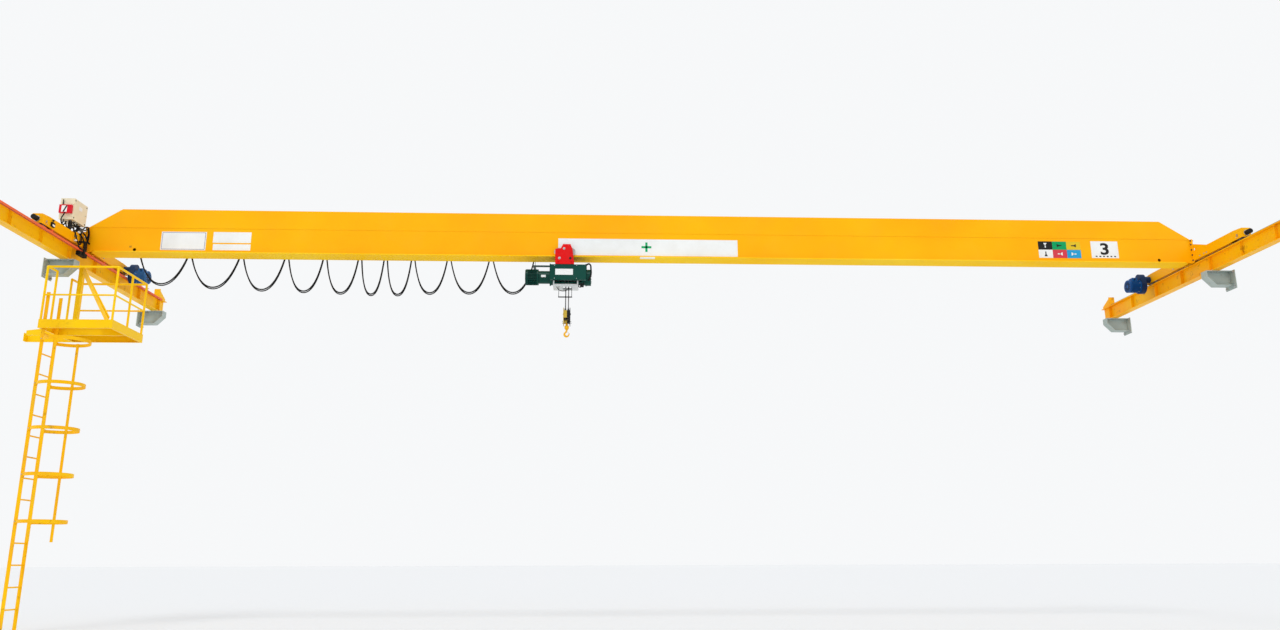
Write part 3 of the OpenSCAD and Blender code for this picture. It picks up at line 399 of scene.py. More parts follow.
# Corbels
# Brackets of plate, each an H-shaped cantilever that tapers towards its nose, welded and painted
# grey-green in the shop. Four bolts hold each wall plate.
plate_face = (0.012, 18.528)
wall_bolt = (0.105, 0.12)
wall_bolt_r = 0.017

corbel_paint = enamel_paint("corbel_paint", (0.5, 0.56, 0.53), (0.34, 0.41, 0.38),
                            dust_and_sheen=(0.2, 0.2, 0.17), amount=0.3, rust=0.25, rough=0.5)
dress(corbel_paint, "corbel_green", "corbels_left", "corbels_right")
bm = bmesh.new()
for x, out_x in zip(plate_face, (1, -1)):
    for row in bay_rows:
        for side in (-1, 1):
            for end in (-1, 1):
                foot = (x, row * bay + side * wall_bolt[0], end * wall_bolt[1])
                bolt_into(bm, foot, (out_x, 0, 0), wall_bolt_r)
piece(bm, "corbel_wall_bolts", zinc, runway)

# Conductor line
# An insulated conductor runs along the left beam: an orange-red shroud, open below, round a pale
# aluminium strip. Hangers clamp it to the beam, with joint sleeves between the lengths.
line_x = 0.4095
line_y = (-9.78, 3.02)
line_z = (0.32, 0.35)
strip_half = 0.008
sleeve_at = (-7.3, -4.15, -1.0, 2.15)
sleeve_half = 0.06
shroud_half = 0.0225
cap_half = 0.022
clamp_screw_z = 0.384

conductor_red = enamel_paint("conductor_red", (0.95, 0.17, 0.06), (0.85, 0.11, 0.03), amount=0.15,
                             rough=0.45)
aluminium = steel_finish("conductor_strip", (0.72, 0.7, 0.66), (0.5, 0.48, 0.44), rust=0.0,
                         rough=0.3)
dress(conductor_red, "conductor_red", "conductor_bar")
bm = bmesh.new()
box_into(bm, (line_x - strip_half, line_y[0], line_z[0] + 0.006),
         (line_x + strip_half, line_y[1], line_z[0] + 0.018))
piece(bm, "conductor_strip", aluminium, runway)
bm = bmesh.new()
for y in sleeve_at:
    near, far = y - sleeve_half, y + sleeve_half
    for side in (-1, 1):
        box_into(bm, (line_x + side * shroud_half - 0.002, near, line_z[0] + 0.002),
                 (line_x + side * shroud_half + 0.002, far, line_z[1] + 0.002))
    box_into(bm, (line_x - 0.0245, near, line_z[1]), (line_x + 0.0245, far, line_z[1] + 0.003))
for y, out_y in zip(line_y, (-1, 1)):
    near, far = sorted((y, y + out_y * 0.02))
    box_into(bm, (line_x - cap_half, near, line_z[0] - 0.002),
             (line_x + cap_half, far, line_z[1] + 0.002))
piece(bm, "conductor_sleeves", conductor_red, runway, bevel=0.001)
bm = bmesh.new()
clamp_screw_x = (line_x + 0.34) / 2 - 0.03
for step in range(-6, 2):
    y = (step + 0.5) * bay / 2 + 0.06
    bolt_into(bm, (clamp_screw_x, y, clamp_screw_z), (0, 0, -1), 0.006)
piece(bm, "conductor_clamp_screws", zinc, runway)

# Service platform
# A welded frame of channels with a tread plate floor and a hatch, hung from the left beam by a
# flat hanger and a brace, with two bearers under it. The guard rail is round tube, all bright
# yellow.
deck_top = -0.872
hatch = ((0.235, 0.88), (-0.38, 0.06))
deck_span = ((0.225, 1.255), (-0.385, 0.59))
tread = 0.046
bearer_end = -0.192
bearer_top = -0.932
bearer_flange_y = 0.11
bearer_from = (-0.4, 0.3)
hatch_rim = 0.02
bar_half = (0.014, 0.003)

platform_paint = enamel_paint("platform_paint", (1.0, 0.68, 0.002), (1.0, 0.56, 0.001),
                              amount=0.06, rust=0.12)
scuffed = steel_finish("tread_tops", (0.95, 0.55, 0.05), (0.55, 0.45, 0.3), rust=0.2, rough=0.45,
                       metallic=0.1)
dress(platform_paint, "platform_yellow", "platform_deck", "platform_rails", "platform_hanger")


def solid_of(node):
    bm = bmesh.new()
    bm.from_mesh(nodes[node].data)
    bmesh.ops.remove_doubles(bm, verts=bm.verts, dist=0.0001)
    return bm


bm = solid_of("platform_deck")
near_bearer = [v for v in bm.verts if v.co.x < bearer_from[0] and v.co.y < bearer_from[1]]
for v in near_bearer:
    v.co.x = bearer_end - (0.03 if v.co.y < bearer_flange_y else 0.0)
    v.co.z = min(v.co.z, bearer_top)
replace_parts(piece(bm, "deck_frame", platform_paint, runway), "platform_deck")

brace_top = Vector((0.3725, 0.324, 0.09))
brace_foot = Vector((1.192, -0.36, deck_top))
brace_line = brace_foot - brace_top
bm = bmesh.new()
brace = box_into(bm, (-brace_line.length / 2 + 0.01, -0.0055, -0.045),
                 (brace_line.length / 2 - 0.02, 0.0055, 0.045))
for turn, axis in ((math.atan2(-brace_line.z, brace_line.xy.length), "Y"),
                   (math.atan2(brace_line.y, brace_line.x), "Z")):
    bmesh.ops.rotate(bm, verts=brace, cent=(0, 0, 0), matrix=Matrix.Rotation(turn, 3, axis))
bmesh.ops.translate(bm, verts=brace, vec=(brace_top + brace_foot) / 2)
piece(bm, "brace_bar", platform_paint, runway, bevel=0.002)

bm = bmesh.new()
columns, rows = (int((span[1] - span[0]) / tread) for span in deck_span)
for column in range(columns):
    for row in range(rows):
        x = deck_span[0][0] + (column + 0.5) * tread
        y = deck_span[1][0] + (row + 0.5) * tread
        if all(low - hatch_rim < at < high + hatch_rim for at, (low, high) in zip((x, y), hatch)):
            continue
        bar = box_into(bm, (x - bar_half[0], y - bar_half[1], deck_top - 0.001),
                       (x + bar_half[0], y + bar_half[1], deck_top + 0.0018))
        turn = math.radians(45 if (column + row) % 2 else -45)
        bmesh.ops.rotate(bm, verts=bar, cent=(x, y, 0), matrix=Matrix.Rotation(turn, 3, "Z"))
piece(bm, "deck_tread", scuffed, runway)

posts = ((0.223, -0.377), (0.223, -0.110), (1.249, -0.377), (1.249, 0.105), (1.249, 0.587),
         (0.223, 0.587), (0.223, 0.320))
bm = bmesh.new()
for x, y in posts:
    rod_into(bm, (x, y, deck_top), (x, y, deck_top + 0.008), 0.022, 20, 0.0175)
piece(bm, "post_welds", platform_paint, runway, smooth=True)
bm = bmesh.new()
for y in (0.335, 0.372):
    for x in (0.235, 0.305):
        bolt_into(bm, (x, y, beam_under - 0.01), (0, 0, -1), 0.009)
piece(bm, "hanger_bolts", zinc, runway)

# Ladder and cage
# Two flat stiles with round rungs, bolted down to the floor and up to the deck, inside a cage of
# flat hoops. The rungs are rubbed by boots and the paint has thinned.
stile_y = (-0.35, 0.0)
stile_x = 0.27
rung_pitch = 0.3
hoop_top = -1.157
hoop_pitch = 0.655
hoop_half = 0.188

ladder_paint = enamel_paint("ladder_paint", (1.0, 0.62, 0.002), (1.0, 0.48, 0.001),
                            dust_and_sheen=(0.2, 0.17, 0.12), amount=0.2, rust=0.4, rough=0.42)
dress(ladder_paint, "platform_yellow", "ladder", "ladder_cage")
bm = bmesh.new()
for y in stile_y:
    for x in (stile_x - 0.036, stile_x + 0.036):
        for side in (-0.026, 0.026):
            bolt_into(bm, (x, y + side, floor_z + 0.010), (0, 0, 1), 0.007)
piece(bm, "ladder_anchors", zinc, runway)
bm = bmesh.new()
for step in range(1, 16):
    z = floor_z + step * rung_pitch
    for y, side in zip(stile_y, (1, -1)):
        rod_into(bm, (stile_x, y + side * 0.005, z), (stile_x, y + side * 0.010, z),
                 0.016, 14, 0.0115)
piece(bm, "rung_welds", ladder_paint, runway, smooth=True)
bm = bmesh.new()
cage_y = sum(stile_y) / 2
for k in range(5):
    z = hoop_top - k * hoop_pitch
    for side in (-1, 1):
        bolt_into(bm, (stile_x - 0.002, cage_y + side * hoop_half, z), (0, side, 0), 0.008)
piece(bm, "cage_bolts", zinc, runway)

# Girder
# One welded box beam between the trucks: deep webs, a wider cap folded over the upper part, cut
# back at both tips, and a wide bottom flange on which the trolley runs. Golden enamel.
bridge = "bridge"
bridge_y = 0.448
web_y = 0.332
fold_z = 0.798
flange_z = (0.383, 0.398)
tips = (0.352, 18.188)
seam_ends = (0.87, 17.67)
end_plates = ((0.364, 1), (18.176, -1))
end_bolt_y = (0.322, 0.574)
end_bolt_z = (0.44, 0.53, 0.62, 0.71, 0.775)

girder_paint = enamel_paint("girder_paint", (1.0, 0.5, 0.0), (1.0, 0.42, 0.0), amount=0.03,
                            rough=0.4)
# The bottom flange gets a paler copy of the girder enamel: painted light for its underside, lit
# from the floor.
flange_painted_light = enamel_paint("flange_painted_light", (1.0, 0.68, 0.03), (1.0, 0.56, 0.005),
                            dust_and_sheen=(0.45, 0.3, 0.1), amount=0.08, rust=0.06, rough=0.5,
                            specular=0.02)
dress(girder_paint, "crane_yellow", "girder")
dress(flange_painted_light, "crane_yellow", "girder_flange")
bm = bmesh.new()
for y in (web_y, 2 * bridge_y - web_y):
    for z, r in ((flange_z[1] + 0.001, 0.006), (fold_z, 0.0035)):
        rod_into(bm, (seam_ends[0], y, z), (seam_ends[1], y, z), r, 8)
piece(bm, "girder_welds", girder_paint, bridge, smooth=True)
bm = bmesh.new()
for x, out_x in end_plates:
    for y in end_bolt_y:
        for z in end_bolt_z:
            bolt_into(bm, (x, y, z), (out_x, 0, 0), 0.011)
            if z > 0.6:
                bolt_into(bm, (x - out_x * 0.024, y, z), (-out_x, 0, 0), 0.011)
joint_black = enamel_paint("black_bolt", (0.05, 0.048, 0.045), (0.02, 0.02, 0.02), amount=0.3,
                           rough=0.45)
piece(bm, "girder_end_bolts", joint_black, bridge)
# Two thin black slips on the web stand for a small notch: painted shade in place of its hollow.
bm = bmesh.new()
for x in (1.030, 1.048):
    box_into(bm, (x, web_y - 0.003, 0.470), (x + 0.006, web_y + 0.002, 0.500))
piece(bm, "girder_notch_painted_shade", joint_black, bridge)

# Plates on the girder
# Thin printed sheets stuck to the near web, left plain: white name and load plates, a long
# white banner with a green cross, six squares with the directions of travel, and the number of
# the crane.
plate_t = 0.003
plate_y = (web_y - plate_t, web_y + 0.002)


def plate_on(name, x0, x1, z0, z1, material, body=bridge, face_y=plate_y):
    bm = bmesh.new()
    box_into(bm, (x0, face_y[0], z0), (x1, face_y[1], z1))
    piece(bm, name, material, body, bevel=0.0008)


def mesh_of(curve):
    holder = bpy.data.objects.new("curve_holder", curve)
    bpy.context.scene.collection.objects.link(holder)
    bpy.context.view_layer.update()
    graph = bpy.context.evaluated_depsgraph_get()
    mesh = bpy.data.meshes.new_from_object(holder.evaluated_get(graph))
    bpy.data.objects.remove(holder)
    return mesh


white_vinyl = enamel_paint("white_vinyl", (0.9, 0.91, 0.89), (0.84, 0.86, 0.85),
                           dust_and_sheen=(0.5, 0.47, 0.4), amount=0.25, rough=0.35, bump=0.02)
inks = (
    ("black", (0.02, 0.02, 0.02)), ("green", (0.0, 0.42, 0.14)), ("yellow", (0.9, 0.62, 0.02)),
    ("red", (0.8, 0.06, 0.09)), ("blue", (0.02, 0.4, 0.75)), ("navy", (0.03, 0.09, 0.3)),
)
ink = {}
for name, colour in inks:
    shade = tuple(value * 0.8 for value in colour)
    ink[name] = enamel_paint("ink_" + name, colour, shade, amount=0.08, rough=0.35, bump=0.02)

plate_on("name_plate", 1.501, 2.199, 0.436, 0.739, white_vinyl)
plate_on("load_plate", 2.304, 2.895, 0.564, 0.741, white_vinyl)
plate_on("date_plate", 2.312, 2.896, 0.440, 0.541, white_vinyl)
plate_on("banner", 7.750, 10.640, 0.420, 0.699, white_vinyl)
plate_on("number_plate", 16.481, 16.935, 0.464, 0.752, white_vinyl)
plate_on("flange_tag", 9.06, 9.30, 0.376, 0.386, white_vinyl, face_y=(0.281, 0.36))
ink_y = (web_y - plate_t - 0.0008, web_y - plate_t + 0.0005)
border = ((1.515, 2.185, 0.722, 0.728), (1.515, 2.185, 0.448, 0.454),
          (1.515, 1.521, 0.454, 0.722), (2.179, 2.185, 0.454, 0.722))
for k, edges in enumerate(border):
    plate_on(f"name_plate_line_{k}", *edges, ink["navy"], face_y=ink_y)
plate_on("cross_bar", 9.085, 9.245, 0.548, 0.584, ink["green"], face_y=ink_y)
plate_on("cross_post", 9.147, 9.183, 0.486, 0.646, ink["green"], face_y=ink_y)

panel_x = 15.599
panel_z = 0.457
square = (0.2357, 0.142)
joint = 0.001
arrow_head = (0.026, 0.034)
squares = (
    (0, 1, "black", 90), (1, 1, "green", 180), (2, 1, "yellow", 0),
    (0, 0, None, -90), (1, 0, "red", 0), (2, 0, "blue", 180),
)
for k, (column, row, shade, turn) in enumerate(squares):
    x0 = panel_x + column * square[0]
    z0 = panel_z + row * square[1]
    plate_on(f"direction_square_{k}", x0 + joint, x0 + square[0] - joint,
             z0 + joint, z0 + square[1] - joint, ink[shade] if shade else white_vinyl)
    mark = ink["black"] if shade in (None, "green", "yellow") else white_vinyl
    bm = bmesh.new()
    box_into(bm, (-0.038, ink_y[0], -0.009), (0.012, ink_y[1], 0.009))
    head = rod_into(bm, (arrow_head[0], ink_y[0], 0), (arrow_head[0], ink_y[1], 0),
                    arrow_head[1], 3)
    bmesh.ops.rotate(bm, verts=head, cent=(arrow_head[0], 0, 0),
                     matrix=Matrix.Rotation(math.radians(-90), 3, "Y"))
    bmesh.ops.rotate(bm, verts=bm.verts, cent=(0, 0, 0),
                     matrix=Matrix.Rotation(math.radians(-turn), 3, "Y"))
    bmesh.ops.translate(bm, verts=bm.verts, vec=(x0 + square[0] / 2, 0, z0 + square[1] / 2))
    piece(bm, f"direction_arrow_{k}", mark, bridge)

number = bpy.data.curves.new("number", "FONT")
number.body = "3"
number.size = 0.27
number.extrude = 0.0006
number.offset = 0.007
number.align_x = "CENTER"
bm = bmesh.new()
bm.from_mesh(mesh_of(number))
bmesh.ops.rotate(bm, verts=bm.verts, cent=(0, 0, 0),
                 matrix=Matrix.Rotation(math.radians(90), 3, "X"))
bmesh.ops.scale(bm, verts=bm.verts, vec=(1.25, 1, 1))
bmesh.ops.translate(bm, verts=bm.verts, vec=(16.708, web_y - plate_t, 0.528))
piece(bm, "crane_number", ink["black"], bridge)
bm = bmesh.new()
for k in range(6):
    x = 16.545 + k * 0.062
    box_into(bm, (x, ink_y[0], 0.482), (x + 0.03, ink_y[1], 0.502))
piece(bm, "number_dots", ink["black"], bridge)

# End trucks
# Welded box sections, one on each rail, with the wheels in their open undersides and the plate
# that the girder is bolted to on the inner face. Keeper plates hold the axles.
axle_y = (-0.802, 1.698)
axle_z = 0.4953
keeper_t = 0.005
keeper_seats = (
    (0.200, -1, axle_y), (0.34, 1, axle_y[:1]), (18.340, 1, axle_y), (18.2, -1, axle_y[:1]),
)
joint_bolt_y = (-0.03, 0.04, 0.15, 0.745, 0.856, 0.926)

dress(girder_paint, "crane_yellow", "truck_left", "truck_right")
bm = bmesh.new()
for x, out_x, axles in keeper_seats:
    low, high = sorted((x, x + out_x * keeper_t))
    for y in axles:
        box_into(bm, (low, y - 0.034, axle_z - 0.042), (high, y + 0.034, axle_z - 0.0235))
piece(bm, "axle_keepers", girder_paint, bridge, bevel=0.001)
bm = bmesh.new()
for x, out_x, axles in keeper_seats:
    for y in axles:
        for side in (-0.024, 0.024):
            foot = (x + out_x * keeper_t, y + side, axle_z - 0.033)
            bolt_into(bm, foot, (out_x, 0, 0), 0.0055)
for x, out_x in zip(tips, (1, -1)):
    for y in joint_bolt_y:
        bolt_into(bm, (x, y, 0.47), (out_x, 0, 0), 0.009)
piece(bm, "truck_bolts", zinc, bridge)
rubber = enamel_paint("black_rubber", (0.012, 0.012, 0.012), (0.007, 0.007, 0.007),
                      dust_and_sheen=(0.1, 0.09, 0.08), amount=0.22, rough=0.6)
switch_y = -0.65
bm = bmesh.new()
box_into(bm, (0.34, -0.69, 0.462), (0.368, -0.61, 0.528))
rod_into(bm, (0.354, switch_y, 0.528), (0.354, switch_y, 0.560), 0.006, 12)
rod_into(bm, (0.346, switch_y, 0.562), (0.366, switch_y, 0.562), 0.011, 16)
piece(bm, "travel_switch", rubber, bridge, bevel=0.002)
bm = bmesh.new()
box_into(bm, (0.3675, -0.682, 0.470), (0.3695, -0.618, 0.500))
piece(bm, "travel_switch_lid", white_vinyl, bridge, bevel=0.0008)

# Wheels and buffers
# Flanged steel wheels, turned and bright on the tread, roll on the rails; a rubber buffer with a
# steel back plate stands at each end of both trucks.
buffer_z = 0.497
buffer_plate = (0.045, 0.006)
truck_ends = ((-0.927, -1), (1.823, 1))

tread_steel = steel_finish("wheel_tread", (0.6, 0.59, 0.57), (0.3, 0.28, 0.26), rust=0.35,
                           rough=0.3)
for side in ("left", "right"):
    dress(tread_steel, "rail_steel", f"wheel_{side}_near", f"wheel_{side}_far")
dress(rubber, "black_plastic", "buffers")
bm = bmesh.new()
for x in rail_at:
    for y, out_y in truck_ends:
        rod_into(bm, (x, y, buffer_z), (x, y + out_y * buffer_plate[1], buffer_z),
                 buffer_plate[0], 32)
piece(bm, "buffer_plates", zinc, bridge, bevel=0.001)

# Travel drives
# A blue squirrel-cage motor with cooling fins and a darker gearbox on the inner face of each
# truck, driving the far wheel. Zinc bolts join them; the fan end has a slotted cowl.
drive_y = 1.698
drive_z = 0.3703
gear_x = (0.46, 0.55)
motor_share = 0.7
motor_ring = (0.104, 0.0075)
gear_ring = (0.112, 0.007)
box_screw_x = (0.602, 0.673)
fan_slot = ((0.7525, -0.007, 0.035), (0.7545, 0.007, 0.095))
slot_count = 14
span_sum = sum(tips)

# The pale cyan dust colour on the drive motors is partly dust and partly painted highlight.
drive_paint = enamel_paint("drive_paint", (0.008, 0.12, 0.42), (0.003, 0.04, 0.16),
                           dust_and_sheen=(0.25, 0.5, 0.62), amount=0.35, rough=0.3)
gear_paint = enamel_paint("gear_paint", (0.006, 0.035, 0.12), (0.003, 0.014, 0.05),
                          dust_and_sheen=(0.1, 0.14, 0.2), amount=0.25, rough=0.35)
dress(gear_paint, "drive_blue", "drive_gearboxes")
bm = solid_of("drive_motors")
for v in bm.verts:
    face = gear_x[1] if v.co.x < span_sum / 2 else span_sum - gear_x[1]
    v.co.x = face + (v.co.x - face) * motor_share
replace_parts(piece(bm, "drive_motor_pair", drive_paint, bridge), "drive_motors")


def at_both_drives(bm):
    twin = bmesh.ops.duplicate(bm, geom=bm.verts[:] + bm.edges[:] + bm.faces[:])
    verts = [item for item in twin["geom"] if isinstance(item, bmesh.types.BMVert)]
    bmesh.ops.scale(bm, verts=verts, vec=(-1, 1, 1))
    bmesh.ops.translate(bm, verts=verts, vec=(span_sum, 0, 0))


def bolt_ring(bm, x, y, z, ring_r, bolt_r, out_x, count=8):
    for k in range(count):
        turn = 2 * math.pi * (k + 0.5) / count
        foot = (x, y + ring_r * math.cos(turn), z + ring_r * math.sin(turn))
        bolt_into(bm, foot, (out_x, 0, 0), bolt_r)


# The cowl slots are thin black boxes laid on the fan ends: painted shade for the openings.
def cowl_slots(bm, low, high, y, z):
    for k in range(slot_count):
        slot = box_into(bm, low, high)
        bmesh.ops.rotate(bm, verts=slot, cent=(0, 0, 0),
                         matrix=Matrix.Rotation(2 * math.pi * k / slot_count, 3, "X"))
        bmesh.ops.translate(bm, verts=slot, vec=(0, y, z))


bm = bmesh.new()
bolt_ring(bm, gear_x[1] + 0.025, drive_y, drive_z, *motor_ring, 1)
bolt_ring(bm, gear_x[0] - 0.001, drive_y, drive_z, *gear_ring, -1)
for y in (drive_y - 0.045, drive_y + 0.045):
    for x in box_screw_x:
        bolt_into(bm, (x, y, 0.517), (0, 0, 1), 0.004)
at_both_drives(bm)
piece(bm, "drive_bolts", zinc, bridge)
bm = bmesh.new()
cowl_slots(bm, *fan_slot, drive_y, drive_z)
rod_into(bm, (0.64, drive_y - 0.06, 0.49), (0.64, drive_y - 0.085, 0.49), 0.011, 16)
at_both_drives(bm)
piece(bm, "drive_cowl_slots", rubber, bridge)

# Control cabinet
# A cream powder-coated sheet steel cabinet on two posts over the left truck. Its door swings on
# two hinges, is held by a lock, and carries a small plain plate and four dark screws.
cabinet_low = Vector((0.13, -0.13, 0.773))
cabinet_high = Vector((0.32, 0.27, 1.108))
post_top = 0.7715
door_face = 0.3385
screw_inset = 0.03
lock = (0.230, 0.9405)
vent_count = 5
gland_at = ((0.185, -0.09), (0.185, -0.02), (0.285, -0.07), (0.285, 0.02), (0.235, 0.24))

cabinet_paint = enamel_paint("cabinet_paint", (0.9, 0.82, 0.6), (0.82, 0.74, 0.53),
                             dust_and_sheen=(0.3, 0.25, 0.18), amount=0.25, rust=0.08, rough=0.5)
dress(cabinet_paint, "cabinet_cream", "control_cabinet", "cabinet_door")
split_at(cabinet_paint, "Z", post_top, (0.02, 0.02, 0.02), above=False)
bm = bmesh.new()
for y in (cabinet_low.y + screw_inset, cabinet_high.y - screw_inset):
    for z in (cabinet_low.z + screw_inset, cabinet_high.z - screw_inset):
        rod_into(bm, (door_face - 0.001, y, z), (door_face + 0.004, y, z), 0.0105, 14)
rod_into(bm, (door_face + 0.007, *lock), (door_face + 0.0105, *lock), 0.006, 14)
piece(bm, "door_screws", joint_black, "door")
plate_on("door_plate", door_face - 0.001, door_face + 0.0012, 0.97, 1.03, white_vinyl,
         body="door", face_y=(0.02, 0.12))
bm = bmesh.new()
for k in range(vent_count):
    z = 0.83 + k * 0.02
    box_into(bm, (0.17, cabinet_high.y - 0.001, z), (0.27, cabinet_high.y + 0.003, z + 0.006))
piece(bm, "cabinet_vents", cabinet_paint, bridge, bevel=0.001)
bm = bmesh.new()
for x, y in gland_at:
    rod_into(bm, (x, y, cabinet_low.z), (x, y, cabinet_low.z - 0.012), 0.015, 6)
    rod_into(bm, (x, y, cabinet_low.z - 0.012), (x, y, cabinet_low.z - 0.03), 0.011, 14, 0.008)
gland_grey = enamel_paint("gland_grey", (0.11, 0.115, 0.12), (0.06, 0.065, 0.07), amount=0.2,
                          rough=0.5)
piece(bm, "cable_glands", gland_grey, bridge)

# Warning light
# A red signal box with a white band, fixed to the near side of the cabinet, with a thin dark
# aerial on its top.
aerial_foot = 0.992
pointer_lean = math.radians(24)

light_red = enamel_paint("light_red", (0.78, 0.012, 0.03), (0.6, 0.008, 0.02), amount=0.06,
                         rough=0.22)
split_at(light_red, "Z", aerial_foot, (0.012, 0.012, 0.012))
dress(light_red, "light_red", "warning_light")
plate_on("light_band", 0.178, 0.262, 0.872, 0.974, white_vinyl, face_y=(-0.1775, -0.174))
bm = bmesh.new()
hand = box_into(bm, (0.222, -0.179, 0.868), (0.244, -0.175, 0.978))
bmesh.ops.rotate(bm, verts=hand, cent=(0.233, -0.177, 0.923),
                 matrix=Matrix.Rotation(pointer_lean, 3, "Y"))
piece(bm, "light_pointer", joint_black, bridge)

# Cables on the bridge
# Black rubber cables leave the glands under the cabinet, hang in a loose bunch beside the truck,
# and run to the collector, the drive and the festoon. White clips and a grey junction box hold
# them.


def cable_mesh(name, points, r, material, body, sides=3, radii=None):
    curve = bpy.data.curves.new(name + "_line", "CURVE")
    curve.dimensions = "3D"
    curve.bevel_depth = r
    curve.bevel_resolution = sides
    curve.use_fill_caps = True
    curve.resolution_u = 8
    line = curve.splines.new("BEZIER")
    line.bezier_points.add(len(points) - 1)
    for k, (knot, point) in enumerate(zip(line.bezier_points, points)):
        knot.co = point
        knot.handle_left_type = "AUTO"
        knot.handle_right_type = "AUTO"
        knot.radius = radii[k] if radii else 1.0
    mesh = mesh_of(curve)
    mesh.name = name
    for face in mesh.polygons:
        face.use_smooth = True
    return placed(mesh, name, material, body)


dress(rubber, "cable_black", "collector", "bridge_cables")
loose_r = 0.0095
loose = (
    ((0.185, -0.09, 0.745), (0.182, -0.11, 0.70), (0.205, -0.05, 0.640), (0.30, 0.03, 0.615),
     (0.36, 0.12, 0.60), (0.372, 0.22, 0.52), (0.366, 0.26, 0.43)),
    ((0.185, -0.02, 0.745), (0.150, -0.03, 0.68), (0.175, 0.02, 0.61), (0.235, 0.10, 0.602),
     (0.300, 0.21, 0.606), (0.315, 0.30, 0.61)),
    ((0.285, -0.07, 0.745), (0.310, -0.10, 0.69), (0.362, -0.06, 0.60), (0.374, 0.0, 0.50),
     (0.385, 0.06, 0.43), (0.375, 0.14, 0.46)),
    ((0.285, 0.02, 0.745), (0.320, 0.03, 0.71), (0.372, 0.10, 0.69), (0.380, 0.20, 0.70),
     (0.385, 0.262, 0.735), (0.385, 0.295, 0.70), (0.380, 0.297, 0.56), (0.388, 0.292, 0.45)),
    ((0.235, 0.24, 0.745), (0.290, 0.25, 0.725), (0.370, 0.272, 0.775), (0.392, 0.293, 0.72),
     (0.400, 0.296, 0.60), (0.384, 0.293, 0.50), (0.392, 0.285, 0.43)),
    ((0.240, -0.176, 0.862), (0.225, -0.185, 0.815), (0.190, -0.165, 0.765),
     (0.185, -0.11, 0.70), (0.215, -0.03, 0.665), (0.260, -0.06, 0.71), (0.285, -0.07, 0.745)),
    ((0.185, -0.02, 0.745), (0.215, 0.03, 0.66), (0.265, 0.06, 0.70), (0.245, 0.13, 0.65),
     (0.235, 0.20, 0.70), (0.235, 0.24, 0.745)),
    ((0.375, 0.14, 0.46), (0.400, 0.05, 0.42), (0.425, -0.01, 0.37), (0.445, 0.08, 0.345),
     (0.440, 0.20, 0.36), (0.400, 0.27, 0.40), (0.388, 0.292, 0.45)),
    ((0.235, 0.24, 0.745), (0.240, 0.27, 0.69), (0.275, 0.30, 0.66), (0.305, 0.33, 0.63),
     (0.318, 0.36, 0.61)),
)
for k, points in enumerate(loose):
    cable_mesh(f"loose_cable_{k}", points, loose_r, rubber, bridge)
bm = bmesh.new()
box_into(bm, (0.353, 0.075, 0.632), (0.385, 0.145, 0.690))
box_into(bm, (0.353, -0.035, 0.520), (0.380, 0.005, 0.552))
piece(bm, "junction_boxes", gland_grey, bridge, bevel=0.003)
bm = bmesh.new()
box_into(bm, (0.365, 0.02, 0.602), (0.389, 0.062, 0.628))
box_into(bm, (0.17, -0.005, 0.594), (0.205, 0.03, 0.606))
box_into(bm, (0.352, -0.03, 0.455), (0.386, 0.0, 0.478))
piece(bm, "cable_clips", white_vinyl, bridge, bevel=0.002)

# Festoon
# A galvanised C-shaped track behind the girder carries nine small trolleys. Two black rubber
# cables hang in loops between them and feed the hoist.
supports = (1.02, 1.83, 2.65, 3.37, 3.98, 4.54, 4.95, 5.39, 5.97, 6.65, 7.37)
loop_low = (-0.022, -0.072, -0.102, -0.122, -0.142, -0.162, -0.162, -0.132, -0.122, -0.102)
loop_top = 0.464
festoon_y = 0.678
last_share = 0.7959
last_bow = 0.05
bow_depth = 0.1
saddle = 0.022
saddle_rise = 0.026
strands = ((-0.008, 0.0, 0.0105), (0.013, 0.021, 0.009))
steps = 28
screw_at = (0.653, 0.470)
clamp_half = (0.022, 0.018, 0.006)

galvanised = steel_finish("galvanised", (0.55, 0.56, 0.56), (0.4, 0.41, 0.42), rust=0.08,
                          rough=0.42)
dress(galvanised, "track_steel", "festoon_track")
dress(rubber, "black_plastic", *[f"carrier_{k}" for k in range(1, 10)])


def catenary(width, sag):
    low, high = width / 20, 50.0
    for _ in range(60):
        a = (low + high) / 2
        if a * (math.cosh(width / 2 / a) - 1) > sag:
            low = a
        else:
            high = a
    return a


for k in range(10):
    x0, x1 = supports[k] + saddle, supports[k + 1] - saddle
    width = x1 - x0
    for strand, (aside, lower, r) in enumerate(strands):
        sag = loop_top - loop_low[k] + lower
        a = catenary(width, sag)
        points = []
        for step in range(steps + 1):
            along = math.asinh(math.sinh(width / 2 / a) * (2 * step / steps - 1)) * a
            drop = sag - a * (math.cosh(along / a) - 1)
            bow = last_bow * min(1, drop / bow_depth) if k == 9 else 0
            points.append(((x0 + x1) / 2 + along, festoon_y + aside + bow, loop_top - drop))
        loop = cable_mesh(f"festoon_loop_{k + 1}_{strand}", points, r, rubber, None)
        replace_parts(loop, "festoon_cable")
        near = "bridge" if k in (0, 9) else f"carrier_{k}"
        far = "trolley" if k == 9 else f"carrier_{k + 1}"
        start = x0 if k < 9 else x1 - width / (1 - last_share)
        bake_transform(loop)
for k in range(1, 10):
    x = supports[k]
    bm = bmesh.new()
    for side in (-1, 1):
        bolt_into(bm, (x + side * 0.02, *screw_at), (0, -1, 0), 0.0045)
    piece(bm, f"carrier_screws_{k}", zinc, f"carrier_{k}")
    crown = loop_top + saddle_rise
    for strand, (aside, _, r) in enumerate(strands):
        y = festoon_y + aside
        over = ((x - saddle, y, loop_top), (x - saddle / 2, y, crown),
                (x + saddle / 2, y, crown), (x + saddle, y, loop_top))
        cable_mesh(f"saddle_cable_{k}_{strand}", over, r, rubber, f"carrier_{k}")
bm = bmesh.new()
clamp = Vector((supports[0], festoon_y, loop_top))
